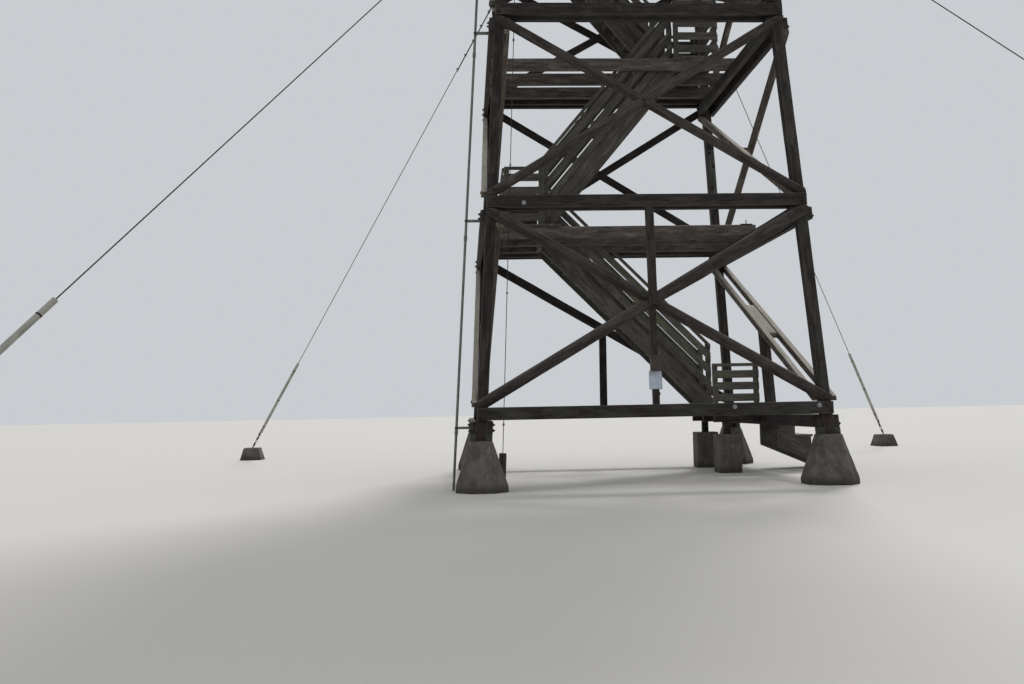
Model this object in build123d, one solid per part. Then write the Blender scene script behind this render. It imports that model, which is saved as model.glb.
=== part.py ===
from build123d import *

import math
import os

# Fire lookout tower, in millimetres. X runs to the right along the front, Y runs from front to back, Z is up.
# The origin is at ground level under the middle of the four legs.

# Legs and their piers
base_width = 5500          # over the outside of the legs at base_width_height
base_width_height = 1180
batter = 0.0628            # each face leans in by this share of its height
leg_size = 165
pier_height = 765
pier_top_width = 345
pier_top_corner = 45       # cut off each corner, along both sides
pier_base_width = 800
pier_base_corner = 215
pier_toe_height = 90       # upright foot of the pier under its sloping sides
shoe_thickness = 10
shoe_width = 100

# Levels of the horizontal girts, by their top edges on the front
first_girt_top = 1272
first_bay_height = 3305
second_bay_height = 3178
third_bay_height = 2650
girt_depth = 195
plank_thickness = 88       # every girt and brace plank that is bolted to the legs
level_gap = 16             # between a front girt and the side girt under it
pole_diameter = 175        # front and back braces of the first bay, flat-backed poles
upper_pole_diameter = 155
side_brace_width = 120
brace_end_gap = 8
spacer_depth = 96
spacer_length = 170
long_spacer_length = 1150
mid_post_width = 135       # upper piece, over the crossing
mid_post_lap = 65          # over the girt above it, and past the middle of the crossing
mid_stub_width = 105       # lower piece, under the crossing
back_stub_width = 150
mid_post_thickness = 60
splice_bottom = 5450
splice_height = 1150
splice_width = 140
splice_thickness = 38

# Landings, whose joists lie on the side girts
joist_depth = 225
joist_width = 90
joist_lines = (100, 900, 1700)
deck_thickness = 40
deck_board_width = 140
deck_board_gap = 8
deck_overhang = 25
landing_side_gap = 360     # from the outside of the legs to a landing's outer end
landing_1_edge = -1400
landing_1_foot_edge = -1110
landing_2_edge = 1100
landing_2_foot_edge = 660

# Flights of steps
tread_thickness = 38
tread_nosing = 25
tread_cleat = 38           # strip under each end of a tread, on the stringer
tread_cleat_inset = 15
stringer_depth = 286
stringer_over_treads = 40  # square to the slope, above the line of the treads
stringer_thickness = 50
rail_board_thickness = 26
strip_clearance = 5
flight_1_risers = 15
flight_1_going = 232
flight_2_risers = 14
flight_2_going = 192
flight_3_risers = 13
flight_3_going = 190
flight_3_foot = 950

# Guard rails
guard_height = 1080
guard_board_width = 142
guard_board_pitch = 248
slope_board_width = 165
slope_board_gap = 36
slope_board_count = 3
guard_post_width = 90
guard_post_depth = 60
top_rail_depth = 60

# Entry platform, steps and post on the right side
platform_left = 1640
platform_overhang = 42     # past the outside of the right girts
platform_front = 30
platform_joist_depth = 140
platform_post_width = 120
platform_guard_height = 900
platform_board_pitch = 215
pad_width = 420
pad_height = 700
pad_inset = 30
entry_step_risers = 5
entry_step_going = 300
entry_seat_risers = 2      # risers from the ground to the stringers' lower edge at the girt
entry_stringer_foot = 210
entry_step_front = 200
entry_step_back = 1300
entry_post_y = -60
entry_post_width = 150

# Notice sheet and its box on the middle post
notice_width = 200
notice_height = 285
notice_bottom = 1500
notice_thickness = 6
notice_box_width = 160
notice_box_height = 230
notice_box_depth = 110

# Guy wires with their anchors
guy_drop = 775             # from the legs' tops down to where the wires leave them
guy_reach = 9000           # along the ground, away from the leg
guy_diameter = 16
guy_collar_length = 220
guy_collar_wall = 14
guy_lug_length = 70
guy_lug_width = 36
guard_tube_length = 2440
guard_tube_diameter = 70
guard_tube_gap = 120       # along the wire, above its end
guard_tube_fit = 1
anchor_width = 560
anchor_height = 320
anchor_top_width = 390
anchor_rod_length = 450    # out of the block, in line with the wire
anchor_rod_diameter = 28

# Pipe outside the left front leg, and the ground wire inside it
pipe_diameter = 42
pipe_reach = 305           # from the left side of the legs out to its middle
pipe_inset = 430           # from the front of the legs back to its middle
pipe_bracket_size = 40
ground_wire_diameter = 12
ground_wire_foot_inset = (454, 644)    # from the left side and the front of the legs
ground_wire_head_inset = 282           # from the left side of the legs
ground_wire_gap = 0.5                  # under the girt that holds its upper end

# Catwalk and cab
catwalk_width = 5900
cap_beam_depth = 200
cap_beam_width = 150
floor_joist_depth = 150
floor_joist_width = 50
floor_joist_pitch = 450
hatch_head = 1560          # length of the stair opening through the floor
cab_width = 4270
wall_thickness = 110
wall_height = 2250
sill_height = 900
window_height = 1060
windows_per_wall = 4
corner_width = 190
mullion_width = 90
glass_thickness = 6
door_width = 760
door_height = 1980
door_thickness = 45
door_gap = 4               # on the lock side and over the door
eaves = 600
ceiling_thickness = 45
roof_rise = 1180
roof_thickness = 90        # measured upright
roof_edge = 60
catwalk_post_width = 90
catwalk_rail_count = 3
catwalk_rail_depth = 90
catwalk_rail_thickness = 40
catwalk_rail_height = 1000
catwalk_posts_per_side = 5
catwalk_panel_gap = 2
cap_size = 220
cap_height = 160

# Levels that follow from the sizes above
girt_tops = [first_girt_top]
for bay_height in (first_bay_height, second_bay_height, third_bay_height):
    girt_tops.append(girt_tops[-1] + bay_height)
front_girt_bottoms = [top - girt_depth for top in girt_tops]
side_girt_tops = [bottom - level_gap for bottom in front_girt_bottoms]
side_girt_bottoms = [top - girt_depth for top in side_girt_tops]
joist_tops = [top + joist_depth for top in side_girt_tops]
deck_tops = [top + deck_thickness for top in joist_tops]
leg_top = girt_tops[3]
platform_top = side_girt_tops[0] + deck_thickness
cap_beam_top = leg_top + cap_beam_depth
floor_joist_top = cap_beam_top + floor_joist_depth
floor_top = floor_joist_top + deck_thickness
wall_top = floor_top + wall_height
guy_height = leg_top - guy_drop

nodes = {}


# General shapes

def half_width(height):
    """Distance from the middle of the tower to the outside of its legs at a height."""
    return base_width / 2 - batter * (height - base_width_height)


def block(x_range, y_range, z_range):
    """Box between two values along each axis, given in either order."""
    low = [min(pair) for pair in (x_range, y_range, z_range)]
    size = [abs(pair[1] - pair[0]) for pair in (x_range, y_range, z_range)]
    corner = (Align.MIN, Align.MIN, Align.MIN)
    return (Pos(*low) * Box(*size, align=corner)).solid()


def prism(corners, sweep):
    """Flat outline of 3-D corners, swept along a vector."""
    return Solid.extrude(Face(Wire.make_polygon([Vector(*c) for c in corners])), Vector(*sweep))


def rod(start, end, diameter):
    """Round bar between two points."""
    along = Vector(*end) - Vector(*start)
    section = Plane(origin=Vector(*start), z_dir=along) * Circle(diameter / 2)
    return Solid.extrude(section.face(), along)


def upright_rod(start, end, diameter):
    """Round bar between two points, its ends cut level."""
    section = Pos(*start) * Circle(diameter / 2)
    return Solid.extrude(section.face(), Vector(*end) - Vector(*start))


def tapered_block(place, low_width, high_width, low, high):
    """Square block between two heights, its four sides sloping in evenly."""
    slope = math.degrees(math.atan2((low_width - high_width) / 2, high - low))
    foot = Pos(*place, low) * Rectangle(low_width, low_width)
    return extrude(foot.face(), high - low, taper=slope).solid()


def joined(pieces):
    """One solid from pieces that touch."""
    return pieces[0].fuse(*pieces[1:]).solid()


def turned(pieces, face):
    """Pieces made for the front, turned to the named face of the tower."""
    angle = {"front": 0, "right": 90, "back": 180, "left": 270}[face]
    return [piece.rotate(Axis.Z, angle) for piece in pieces]


def plank(outline, inner, thickness):
    """Plank on the front face: outline in (across, height), its inner face at a distance outside the legs."""
    corners = [(across, -half_width(height) - inner, height) for across, height in outline]
    return prism(corners, (0, -thickness, 0))


outer_plane = 0
inner_plane = -leg_size - plank_thickness


# Piers and legs

def leg_centre(height, side_x, side_y):
    offset = half_width(height) - leg_size / 2
    return Vector(side_x * offset, side_y * offset, height)


def pier_form(base_width, top_width):
    """Square form with sloping sides over an upright toe."""
    toe = Box(base_width, base_width, pier_toe_height, align=(Align.CENTER, Align.CENTER, Align.MIN))
    return joined([toe.solid(), tapered_block((0, 0), base_width, top_width, pier_toe_height, pier_height)])


def make_pier(side_x, side_y):
    """Cast pier: a square form with its corners cut by a second one, turned by 45 degrees."""
    middle = leg_centre(pier_height, side_x, side_y)
    straight = pier_form(pier_base_width, pier_top_width)
    base_across = (pier_base_width - pier_base_corner) * math.sqrt(2)
    top_across = (pier_top_width - pier_top_corner) * math.sqrt(2)
    diagonal_form = pier_form(base_across, top_across).rotate(Axis.Z, 45)
    return Pos(middle.X, middle.Y, 0) * straight.intersect(diagonal_form).solid()


def make_leg(side_x, side_y):
    """Square leg that leans in on both faces, cut level at its ends."""
    foot = leg_centre(pier_height, side_x, side_y)
    head = leg_centre(leg_top, side_x, side_y)
    section = Pos(foot.X, foot.Y, foot.Z) * Rectangle(leg_size, leg_size)
    return Solid.extrude(section.face(), head - foot)


def make_shoe(side_x):
    """Steel angle strap on the front of a leg, from the pier up to the girt."""
    top = front_girt_bottoms[0] - brace_end_gap
    low = half_width(pier_height) - leg_size / 2
    high = half_width(top) - leg_size / 2
    half = shoe_width / 2
    outline = [
        (side_x * low - half, pier_height),
        (side_x * low + half, pier_height),
        (side_x * high + half, top),
        (side_x * high - half, top),
    ]
    return plank(outline, outer_plane, shoe_thickness)


def foot_block(side_x, inner):
    """Block beside a leg that carries a side girt's plank on the pier."""
    top = side_girt_bottoms[0]
    low = half_width(pier_height)
    high = half_width(top)
    outline = [
        (side_x * low, pier_height),
        (side_x * (low - leg_size), pier_height),
        (side_x * (high - leg_size), top),
        (side_x * high, top),
    ]
    return plank(outline, inner, plank_thickness)


def make_splice(side_x):
    """Splice board on the front of a leg."""
    top = splice_bottom + splice_height
    low = half_width(splice_bottom) - leg_size / 2
    high = half_width(top) - leg_size / 2
    half = splice_width / 2
    outline = [
        (side_x * low - half, splice_bottom),
        (side_x * low + half, splice_bottom),
        (side_x * high + half, top),
        (side_x * high - half, top),
    ]
    return plank(outline, inner_plane + plank_thickness - splice_thickness, splice_thickness)


corners = {"front_left": (-1, -1), "front_right": (1, -1), "back_left": (-1, 1), "back_right": (1, 1)}
for corner_name, (side_x, side_y) in corners.items():
    nodes["pier_" + corner_name] = [make_pier(side_x, side_y)]
    nodes["leg_" + corner_name] = [make_leg(side_x, side_y)]

shoes = []
splices = []
for face in ("front", "back"):
    shoes += turned([make_shoe(-1), make_shoe(1)], face)
    splices += turned([make_splice(-1), make_splice(1)], face)
for face in ("left", "right"):
    for inner in (outer_plane, inner_plane):
        splices += turned([foot_block(-1, inner), foot_block(1, inner)], face)
nodes["leg_shoes"] = shoes
nodes["leg_splices"] = splices


# Girts: a pair of planks at each level, one on each side of the legs

def girt_pair(top):
    reach = half_width(top)
    outline = [(-reach, top - girt_depth), (reach, top - girt_depth), (reach, top), (-reach, top)]
    return [plank(outline, inner, plank_thickness) for inner in (outer_plane, inner_plane)]


front_girts = []
side_girts = []
for front_top, side_top in zip(girt_tops, side_girt_tops):
    front_girts += girt_pair(front_top)
    side_girts += girt_pair(side_top)
nodes["front_girts"] = turned(front_girts, "front")
nodes["back_girts"] = turned(front_girts, "back")
nodes["left_girts"] = turned(side_girts, "left")
nodes["right_girts"] = turned(side_girts, "right")


# Braces

def bay_space(low, high, inner, thickness):
    """Space between the outsides of two legs, from one height to another."""
    outline = [
        (-half_width(low), low),
        (half_width(low), low),
        (half_width(high), high),
        (-half_width(high), high),
    ]
    return plank(outline, inner, thickness)


def diagonal_ends(low, high, rising):
    """Middle line from corner to corner of a bay, run on past both, as two (across, height) points."""
    run = half_width(low) + half_width(high)
    rise = high - low
    sign = 1 if rising else -1
    start = (sign * (-half_width(low) - run), low - rise)
    end = (sign * (half_width(high) + run), high + rise)
    return start, end


def diagonal(low, high, rising, width, inner):
    """Diagonal plank across one bay, cut to the outside of the legs and just clear of the girts."""
    start, end = diagonal_ends(low, high, rising)
    run = end[0] - start[0]
    rise = end[1] - start[1]
    length = math.hypot(run, rise)
    over_x = -width / 2 * rise / length
    over_z = width / 2 * run / length
    bar = [
        (start[0] - over_x, start[1] - over_z),
        (end[0] - over_x, end[1] - over_z),
        (end[0] + over_x, end[1] + over_z),
        (start[0] + over_x, start[1] + over_z),
    ]
    space = bay_space(low, high, inner, plank_thickness)
    return plank(bar, inner, plank_thickness).intersect(space).solid()


def half_pole(low, high, rising, diameter, inner, thickness):
    """Diagonal pole across one bay whose flat back lies on the legs, or one layer of its thickness."""
    ends = diagonal_ends(low, high, rising)
    start, end = [(across, -half_width(height) - outer_plane, height) for across, height in ends]
    return rod(start, end, diameter).intersect(bay_space(low, high, inner, thickness)).solid()


def crossed_pair(low, high, diameter):
    """Two diagonal poles in one plane, halved into each other where they cross."""
    half = plank_thickness / 2
    falling = half_pole(low, high, False, diameter, outer_plane, plank_thickness)
    rising = half_pole(low, high, True, diameter, outer_plane, plank_thickness)
    rising_outer = half_pole(low, high, True, diameter, outer_plane + half, half)
    falling_inner = half_pole(low, high, False, diameter, outer_plane, half)
    return [falling.cut(rising_outer).solid(), rising.cut(falling_inner).solid()]


bay_lows = [girt_tops[level] + brace_end_gap for level in range(3)]
front_bay_highs = [front_girt_bottoms[level + 1] - brace_end_gap for level in range(3)]
side_bay_highs = [side_girt_bottoms[level + 1] - brace_end_gap for level in range(3)]
pole_diameters = [pole_diameter, upper_pole_diameter, upper_pole_diameter]

face_braces = []
for low, high, diameter in zip(bay_lows, front_bay_highs, pole_diameters):
    face_braces += crossed_pair(low, high, diameter)


def side_diagonal(bay, rising, inner):
    return diagonal(bay_lows[bay], side_bay_highs[bay], rising, side_brace_width, inner)


left_braces = []
right_braces = []
for bay in range(3):
    left_braces.append(side_diagonal(bay, False, outer_plane))
    left_braces.append(side_diagonal(bay, True, inner_plane))
    if bay > 0:
        right_braces.append(side_diagonal(bay, False, outer_plane))
        right_braces.append(side_diagonal(bay, True, inner_plane))
# The right side's first bay has one doubled diagonal, which leaves the way in free.
right_braces.append(side_diagonal(0, True, outer_plane))
right_braces.append(side_diagonal(0, True, inner_plane))
nodes["left_braces"] = turned(left_braces, "left")
nodes["right_braces"] = turned(right_braces, "right")


# Spacer blocks between paired diagonals, at the middle of each side bay

def spacer(bay, length):
    middle = (bay_lows[bay] + side_bay_highs[bay]) / 2
    across = length / 2
    low = middle - spacer_depth / 2
    high = middle + spacer_depth / 2
    return plank([(-across, low), (across, low), (across, high), (-across, high)], -leg_size, leg_size)


def doubled_diagonal_height(across):
    """Height of the middle line of the right side's doubled diagonal."""
    run = half_width(bay_lows[0]) + half_width(side_bay_highs[0])
    return bay_lows[0] + (side_bay_highs[0] - bay_lows[0]) * (across + half_width(bay_lows[0])) / run


def long_spacer(length):
    """Long block between the right side's doubled diagonal, at its middle."""
    tall = spacer_depth / 2
    low = doubled_diagonal_height(-length / 2)
    high = doubled_diagonal_height(length / 2)
    outline = [
        (-length / 2, low - tall),
        (length / 2, high - tall),
        (length / 2, high + tall),
        (-length / 2, low + tall),
    ]
    return plank(outline, -leg_size, leg_size)


left_spacers = [spacer(bay, spacer_length) for bay in range(3)]
right_spacers = [long_spacer(long_spacer_length), *left_spacers[1:]]
nodes["brace_spacers"] = turned(left_spacers, "left") + turned(right_spacers, "right")


# Middle posts of the first bay. In front, one piece lies over the crossing and a thinner one stands under it.

def upright_outline(width, low, high):
    half = width / 2
    return [(-half, low), (half, low), (half, high), (-half, high)]


crossing = bay_lows[0] + (front_bay_highs[0] - bay_lows[0]) * half_width(bay_lows[0]) / (
    half_width(bay_lows[0]) + half_width(front_bay_highs[0])
)


def stub_post(width):
    """Post from the first girt up to the crossing, cut round the poles."""
    stub = plank(upright_outline(width, girt_tops[0], crossing), outer_plane, mid_post_thickness)
    return stub.cut(*face_braces[:2]).solids().sort_by(Axis.Z)[0]


upper_outline = upright_outline(mid_post_width, crossing - mid_post_lap, front_girt_bottoms[1] + mid_post_lap)
upper_post = plank(upper_outline, outer_plane + plank_thickness, mid_post_thickness)
nodes["front_mid_post"] = [upper_post, stub_post(mid_stub_width)]
nodes["front_braces"] = turned(face_braces, "front")
nodes["back_braces"] = turned([*face_braces, stub_post(back_stub_width)], "back")

notice_top = notice_bottom + notice_height
notice_face = outer_plane + mid_post_thickness
notice_outline = [
    (-notice_width / 2, notice_bottom),
    (notice_width / 2, notice_bottom),
    (notice_width / 2, notice_top),
    (-notice_width / 2, notice_top),
]
box_outline = [
    (-notice_box_width / 2, notice_top),
    (notice_box_width / 2, notice_top),
    (notice_box_width / 2, notice_top + notice_box_height),
    (-notice_box_width / 2, notice_top + notice_box_height),
]
nodes["notice_sheet"] = [plank(notice_outline, notice_face, notice_thickness)]
nodes["notice_box"] = [plank(box_outline, notice_face, notice_box_depth)]


# Landings

def landing_joists(level):
    reach = half_width(side_girt_tops[level])
    joists = []
    for line in joist_lines:
        joists.append(
            block(
                (-reach, reach),
                (line - joist_width / 2, line + joist_width / 2),
                (side_girt_tops[level], joist_tops[level]),
            )
        )
    return joists


def header(edge, inward, near, far, level):
    """Short joist across a strip, where the top of a flight meets its landing."""
    thickness = stringer_thickness
    return block(
        (edge, edge + inward * thickness),
        (near + joist_width / 2, far - joist_width / 2),
        (side_girt_tops[level], joist_tops[level]),
    )


def deck_boards(start, end, near, far, top):
    """Boards that run from front to back, between two places along X."""
    step = deck_board_width + deck_board_gap
    sign = 1 if end > start else -1
    count = math.ceil(abs(end - start) / step)
    boards = []
    for index in range(count):
        board_start = start + sign * index * step
        board_end = start + sign * min(index * step + deck_board_width, abs(end - start))
        boards.append(block((board_start, board_end), (near, far), (top - deck_thickness, top)))
    return boards


deck_near = joist_lines[0] - joist_width / 2 - deck_overhang
deck_far = joist_lines[2] + joist_width / 2 + deck_overhang
deck_middle = joist_lines[1]
landing_1_left = landing_side_gap - half_width(deck_tops[1])
landing_2_right = half_width(deck_tops[2]) - landing_side_gap
nodes["landing_joists"] = landing_joists(1) + landing_joists(2) + [
    header(landing_1_edge, -1, joist_lines[1], joist_lines[2], 1),
    header(landing_2_edge, 1, joist_lines[0], joist_lines[1], 2),
]
board_space = deck_board_gap
nodes["landing_decks"] = [
    *deck_boards(landing_1_edge, landing_1_left, deck_near, deck_far, deck_tops[1]),
    *deck_boards(landing_1_edge + board_space, landing_1_foot_edge, deck_near, deck_middle, deck_tops[1]),
    *deck_boards(landing_2_edge, landing_2_right, deck_near, deck_far, deck_tops[2]),
    *deck_boards(landing_2_edge - board_space, landing_2_foot_edge, deck_middle, deck_far, deck_tops[2]),
]


# Flights

def slanted_board(start, end, drop, width, y_start, y_end):
    """Board in an upright plane along X: its upper edge runs between two (x, z) points, less a drop."""
    outline = [
        (start[0], y_start, start[1] - drop - width),
        (end[0], y_start, end[1] - drop - width),
        (end[0], y_start, end[1] - drop),
        (start[0], y_start, start[1] - drop),
    ]
    return prism(outline, (0, y_end - y_start, 0))


class Flight:
    """One flight that climbs along X between two values of Y. Places along it are runs from its foot."""

    def __init__(self, foot_x, foot_z, direction, risers, rise, going, near, far):
        self.foot_x = foot_x
        self.foot_z = foot_z
        self.direction = direction
        self.risers = risers
        self.rise = rise
        self.riser = rise / risers
        self.going = going
        self.near = near
        self.far = far
        self.run = going * (risers - 1)
        self.slope = math.atan2(self.riser, going)

    def x_at(self, run):
        return self.foot_x + self.direction * run

    def line(self, run, lift):
        """Height of the line of the treads at a run, lifted square to the slope."""
        return self.foot_z + self.riser + run * math.tan(self.slope) + lift / math.cos(self.slope)

    def upright(self, outline, y_start, thickness):
        """Flat piece in an upright plane, from an outline in (run, height)."""
        return prism([(self.x_at(run), y_start, height) for run, height in outline], (0, thickness, 0))

    def band(self, run_start, run_end, low, high, y_start, thickness):
        """Piece between two runs with plumb ends, between two lines along the slope."""
        outline = [
            (run_start, self.line(run_start, low)),
            (run_end, self.line(run_end, low)),
            (run_end, self.line(run_end, high)),
            (run_start, self.line(run_start, high)),
        ]
        return self.upright(outline, y_start, thickness)

    def treads(self):
        pieces = []
        side = rail_board_thickness + stringer_thickness
        for index in range(self.risers - 1):
            nose = self.x_at(self.going * index - tread_nosing)
            back = self.x_at(self.going * (index + 1))
            top = self.foot_z + self.riser * (index + 1)
            across = (self.near + side, self.far - side)
            pieces.append(block((nose, back), across, (top - tread_thickness, top)))
        return pieces

    def stringer(self, y_start, inward):
        """Closed stringer with a cleat under each tread. It stands on the floor and meets the header above."""
        top = self.foot_z + self.rise
        over = stringer_over_treads
        under = over - stringer_depth
        trimmed_run = self.run - over / math.cos(self.slope) / math.tan(self.slope)
        foot_run = -(self.riser + under / math.cos(self.slope)) / math.tan(self.slope)
        outline = [
            (-tread_nosing, self.foot_z),
            (foot_run, self.foot_z),
            (self.run, self.line(self.run, under)),
            (self.run, top),
            (trimmed_run, top),
            (-tread_nosing, self.line(-tread_nosing, over)),
        ]
        pieces = [self.upright(outline, y_start, stringer_thickness)]
        inner_face = y_start + stringer_thickness if inward > 0 else y_start
        for index in range(self.risers - 1):
            front = self.x_at(self.going * index + tread_cleat_inset)
            back = self.x_at(self.going * (index + 1) - tread_cleat_inset)
            tread_bottom = self.foot_z + self.riser * (index + 1) - tread_thickness
            cleat_y = (inner_face, inner_face + inward * tread_cleat)
            pieces.append(block((front, back), cleat_y, (tread_bottom - tread_cleat, tread_bottom)))
        return joined(pieces)

    def stringers(self):
        return [
            self.stringer(self.near + rail_board_thickness, 1),
            self.stringer(self.far - rail_board_thickness - stringer_thickness, -1),
        ]

    def cross_cleat(self, y_start):
        """Cleat square to the slope at the middle of a guard, from the stringer up to the top rail."""
        middle = self.run / 2
        height = guard_height * math.cos(self.slope)
        half = guard_post_width / 2
        low = stringer_over_treads
        outline = []
        for lift, shift in ((low, -half), (low, half), (height, half), (height, -half)):
            run = middle + shift * math.cos(self.slope) - lift * math.sin(self.slope)
            rise = middle * math.tan(self.slope) + shift * math.sin(self.slope) + lift * math.cos(self.slope)
            outline.append((run, self.foot_z + self.riser + rise))
        return self.upright(outline, y_start, guard_post_depth)

    def guard(self, board_start, post_start):
        """Top rail and slanted boards on two posts and a middle cleat, which stand on the stringer."""
        high = guard_height * math.cos(self.slope)
        low = high - top_rail_depth
        pieces = [self.band(0, self.run, low, high, board_start, rail_board_thickness)]
        for _ in range(slope_board_count):
            high = low - slope_board_gap
            low = high - slope_board_width
            pieces.append(self.band(0, self.run, low, high, board_start, rail_board_thickness))
        top = guard_height * math.cos(self.slope)
        for run in (0, self.run - guard_post_width):
            pieces.append(
                self.band(run, run + guard_post_width, stringer_over_treads, top, post_start, guard_post_depth)
            )
        pieces.append(self.cross_cleat(post_start))
        return joined(pieces)

    def guards(self):
        near_post = self.near + rail_board_thickness
        far_board = self.far - rail_board_thickness
        return [self.guard(self.near, near_post), self.guard(far_board, far_board - guard_post_depth)]


near_strip = (
    joist_lines[0] + joist_width / 2 + strip_clearance,
    joist_lines[1] - joist_width / 2 - strip_clearance,
)
far_strip = (
    joist_lines[1] + joist_width / 2 + strip_clearance,
    joist_lines[2] - joist_width / 2 - strip_clearance,
)
flight_1_rise = deck_tops[1] - platform_top
flight_2_rise = deck_tops[2] - deck_tops[1]
flight_3_rise = floor_top - deck_tops[2]
flight_1_foot = landing_1_edge + flight_1_going * (flight_1_risers - 1)
flight_2_foot = landing_2_edge - flight_2_going * (flight_2_risers - 1)
flights = [
    Flight(flight_1_foot, platform_top, -1, flight_1_risers, flight_1_rise, flight_1_going, *far_strip),
    Flight(flight_2_foot, deck_tops[1], 1, flight_2_risers, flight_2_rise, flight_2_going, *near_strip),
    Flight(flight_3_foot, deck_tops[2], -1, flight_3_risers, flight_3_rise, flight_3_going, *far_strip),
]
for number, flight in enumerate(flights, start=1):
    nodes["flight_%d_stringers" % number] = flight.stringers()
    nodes["flight_%d_treads" % number] = flight.treads()
    nodes["flight_%d_guards" % number] = flight.guards()


# Guards of the landings and the platform

def guard_panel(start, end, fixed, outward, floor, height, pitch, along_x):
    """Straight guard on a deck's edge: two posts on the deck, boards and a rail on their outer side."""
    def place(along, across, up):
        return block(along, across, up) if along_x else block(across, along, up)

    post_line = (fixed, fixed - outward * guard_post_depth)
    board_line = (fixed, fixed + outward * rail_board_thickness)
    sign = 1 if end > start else -1
    pieces = []
    for post_start in (start, end - sign * guard_post_width):
        post_end = post_start + sign * guard_post_width
        pieces.append(place((post_start, post_end), post_line, (floor, floor + height)))
    rail_low = floor + height - top_rail_depth
    pieces.append(place((start, end), board_line, (rail_low, floor + height)))
    board_top = rail_low - guard_board_width / 2
    while board_top - guard_board_width > floor:
        pieces.append(place((start, end), board_line, (board_top - guard_board_width, board_top)))
        board_top -= pitch
    return joined(pieces)


guard_near = deck_near + rail_board_thickness
guard_far = deck_far - rail_board_thickness
landing_guard_gap = 12
post_reach = guard_post_depth + landing_guard_gap
end_guard = (guard_near + post_reach, guard_far - post_reach)
left_edge = landing_1_left + rail_board_thickness
right_edge = landing_2_right - rail_board_thickness
landing_guards = [
    guard_panel(left_edge + landing_guard_gap, flight_2_foot - landing_guard_gap, guard_near, -1,
                deck_tops[1], guard_height, guard_board_pitch, True),
    guard_panel(left_edge + landing_guard_gap, landing_1_edge - landing_guard_gap, guard_far, 1,
                deck_tops[1], guard_height, guard_board_pitch, True),
    guard_panel(*end_guard, left_edge, -1, deck_tops[1], guard_height, guard_board_pitch, False),
]
landing_guards += [
    guard_panel(landing_2_edge + landing_guard_gap, right_edge - landing_guard_gap, guard_near, -1,
                deck_tops[2], guard_height, guard_board_pitch, True),
    guard_panel(flight_3_foot + landing_guard_gap, right_edge - landing_guard_gap, guard_far, 1,
                deck_tops[2], guard_height, guard_board_pitch, True),
    guard_panel(*end_guard, right_edge, 1, deck_tops[2], guard_height, guard_board_pitch, False),
]
nodes["landing_guards"] = landing_guards


# Entry platform and steps

platform_far = deck_far
platform_joist_top = platform_top - deck_thickness
inner_girt_face = half_width(side_girt_tops[0]) - leg_size - plank_thickness
girt_outside = half_width(side_girt_bottoms[0]) + plank_thickness
platform_right = girt_outside + platform_overhang
platform_joist_right = inner_girt_face - strip_clearance
platform_joists = []
for line in joist_lines:
    platform_joists.append(
        block(
            (platform_left, platform_joist_right),
            (line - joist_width / 2, line + joist_width / 2),
            (platform_joist_top - platform_joist_depth, platform_joist_top),
        )
    )
nodes["platform_deck"] = deck_boards(platform_right, platform_left, platform_front, platform_far, platform_top)
nodes["platform_guard"] = [
    guard_panel(platform_left, inner_girt_face - landing_guard_gap, guard_near, -1,
                platform_top, platform_guard_height, platform_board_pitch, True),
]
pads = []
platform_frame = [platform_joists[1]]
for joist_index in (0, 2):
    line = joist_lines[joist_index]
    middle_x = platform_left + pad_inset + pad_width / 2
    pads.append(
        block(
            (middle_x - pad_width / 2, middle_x + pad_width / 2),
            (line - pad_width / 2, line + pad_width / 2),
            (0, pad_height),
        )
    )
    post = block(
        (middle_x - platform_post_width / 2, middle_x + platform_post_width / 2),
        (line - joist_width / 2, line + joist_width / 2),
        (pad_height, platform_joist_top - platform_joist_depth),
    )
    platform_frame.append(joined([platform_joists[joist_index], post]))
# Blocks between the planks of the side girt carry the deck where it crosses them.
for line in joist_lines:
    block_outline = [
        (line - joist_width / 2, platform_joist_top - platform_joist_depth),
        (line + joist_width / 2, platform_joist_top - platform_joist_depth),
        (line + joist_width / 2, platform_joist_top),
        (line - joist_width / 2, platform_joist_top),
    ]
    platform_frame += turned([plank(block_outline, -leg_size, leg_size)], "right")
nodes["platform_pads"] = pads
nodes["platform_frame"] = platform_frame

step_riser = platform_top / entry_step_risers
step_treads = []
for index in range(entry_step_risers - 1):
    back = platform_right + entry_step_going * index
    front = back + entry_step_going
    top = platform_top - step_riser * (index + 1)
    step_treads.append(
        block((back, front + tread_nosing), (entry_step_front, entry_step_back), (top - tread_thickness, top))
    )
entry_run = entry_step_going * (entry_step_risers - 1)
step_outline = [
    (girt_outside, step_riser * entry_seat_risers),
    (girt_outside, platform_joist_top),
    (platform_right, platform_joist_top),
]
for index in range(entry_step_risers - 1):
    back = platform_right + entry_step_going * index
    top = platform_top - step_riser * (index + 1) - tread_thickness
    step_outline.append((back, top))
    step_outline.append((back + entry_step_going, top))
step_outline.append((platform_right + entry_run, 0))
step_outline.append((platform_right + entry_run - entry_stringer_foot, 0))
step_stringers = []
for y_start in (entry_step_front + tread_nosing, entry_step_back - tread_nosing - stringer_thickness):
    step_stringers.append(
        prism([(x, y_start, z) for x, z in step_outline], (0, stringer_thickness, 0))
    )
nodes["entry_steps"] = step_treads + step_stringers

# The post's top is cut to the slope of the long spacer block above it.
post_front = entry_post_y - entry_post_width / 2
post_back = entry_post_y + entry_post_width / 2
post_drop = spacer_depth / 2
post_outline = [
    (post_front, pier_height),
    (post_back, pier_height),
    (post_back, doubled_diagonal_height(post_back) - post_drop),
    (post_front, doubled_diagonal_height(post_front) - post_drop),
]
nodes["entry_post"] = turned([plank(post_outline, -leg_size, leg_size)], "right")


# Guy wires, taut from the legs to their anchors

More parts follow.
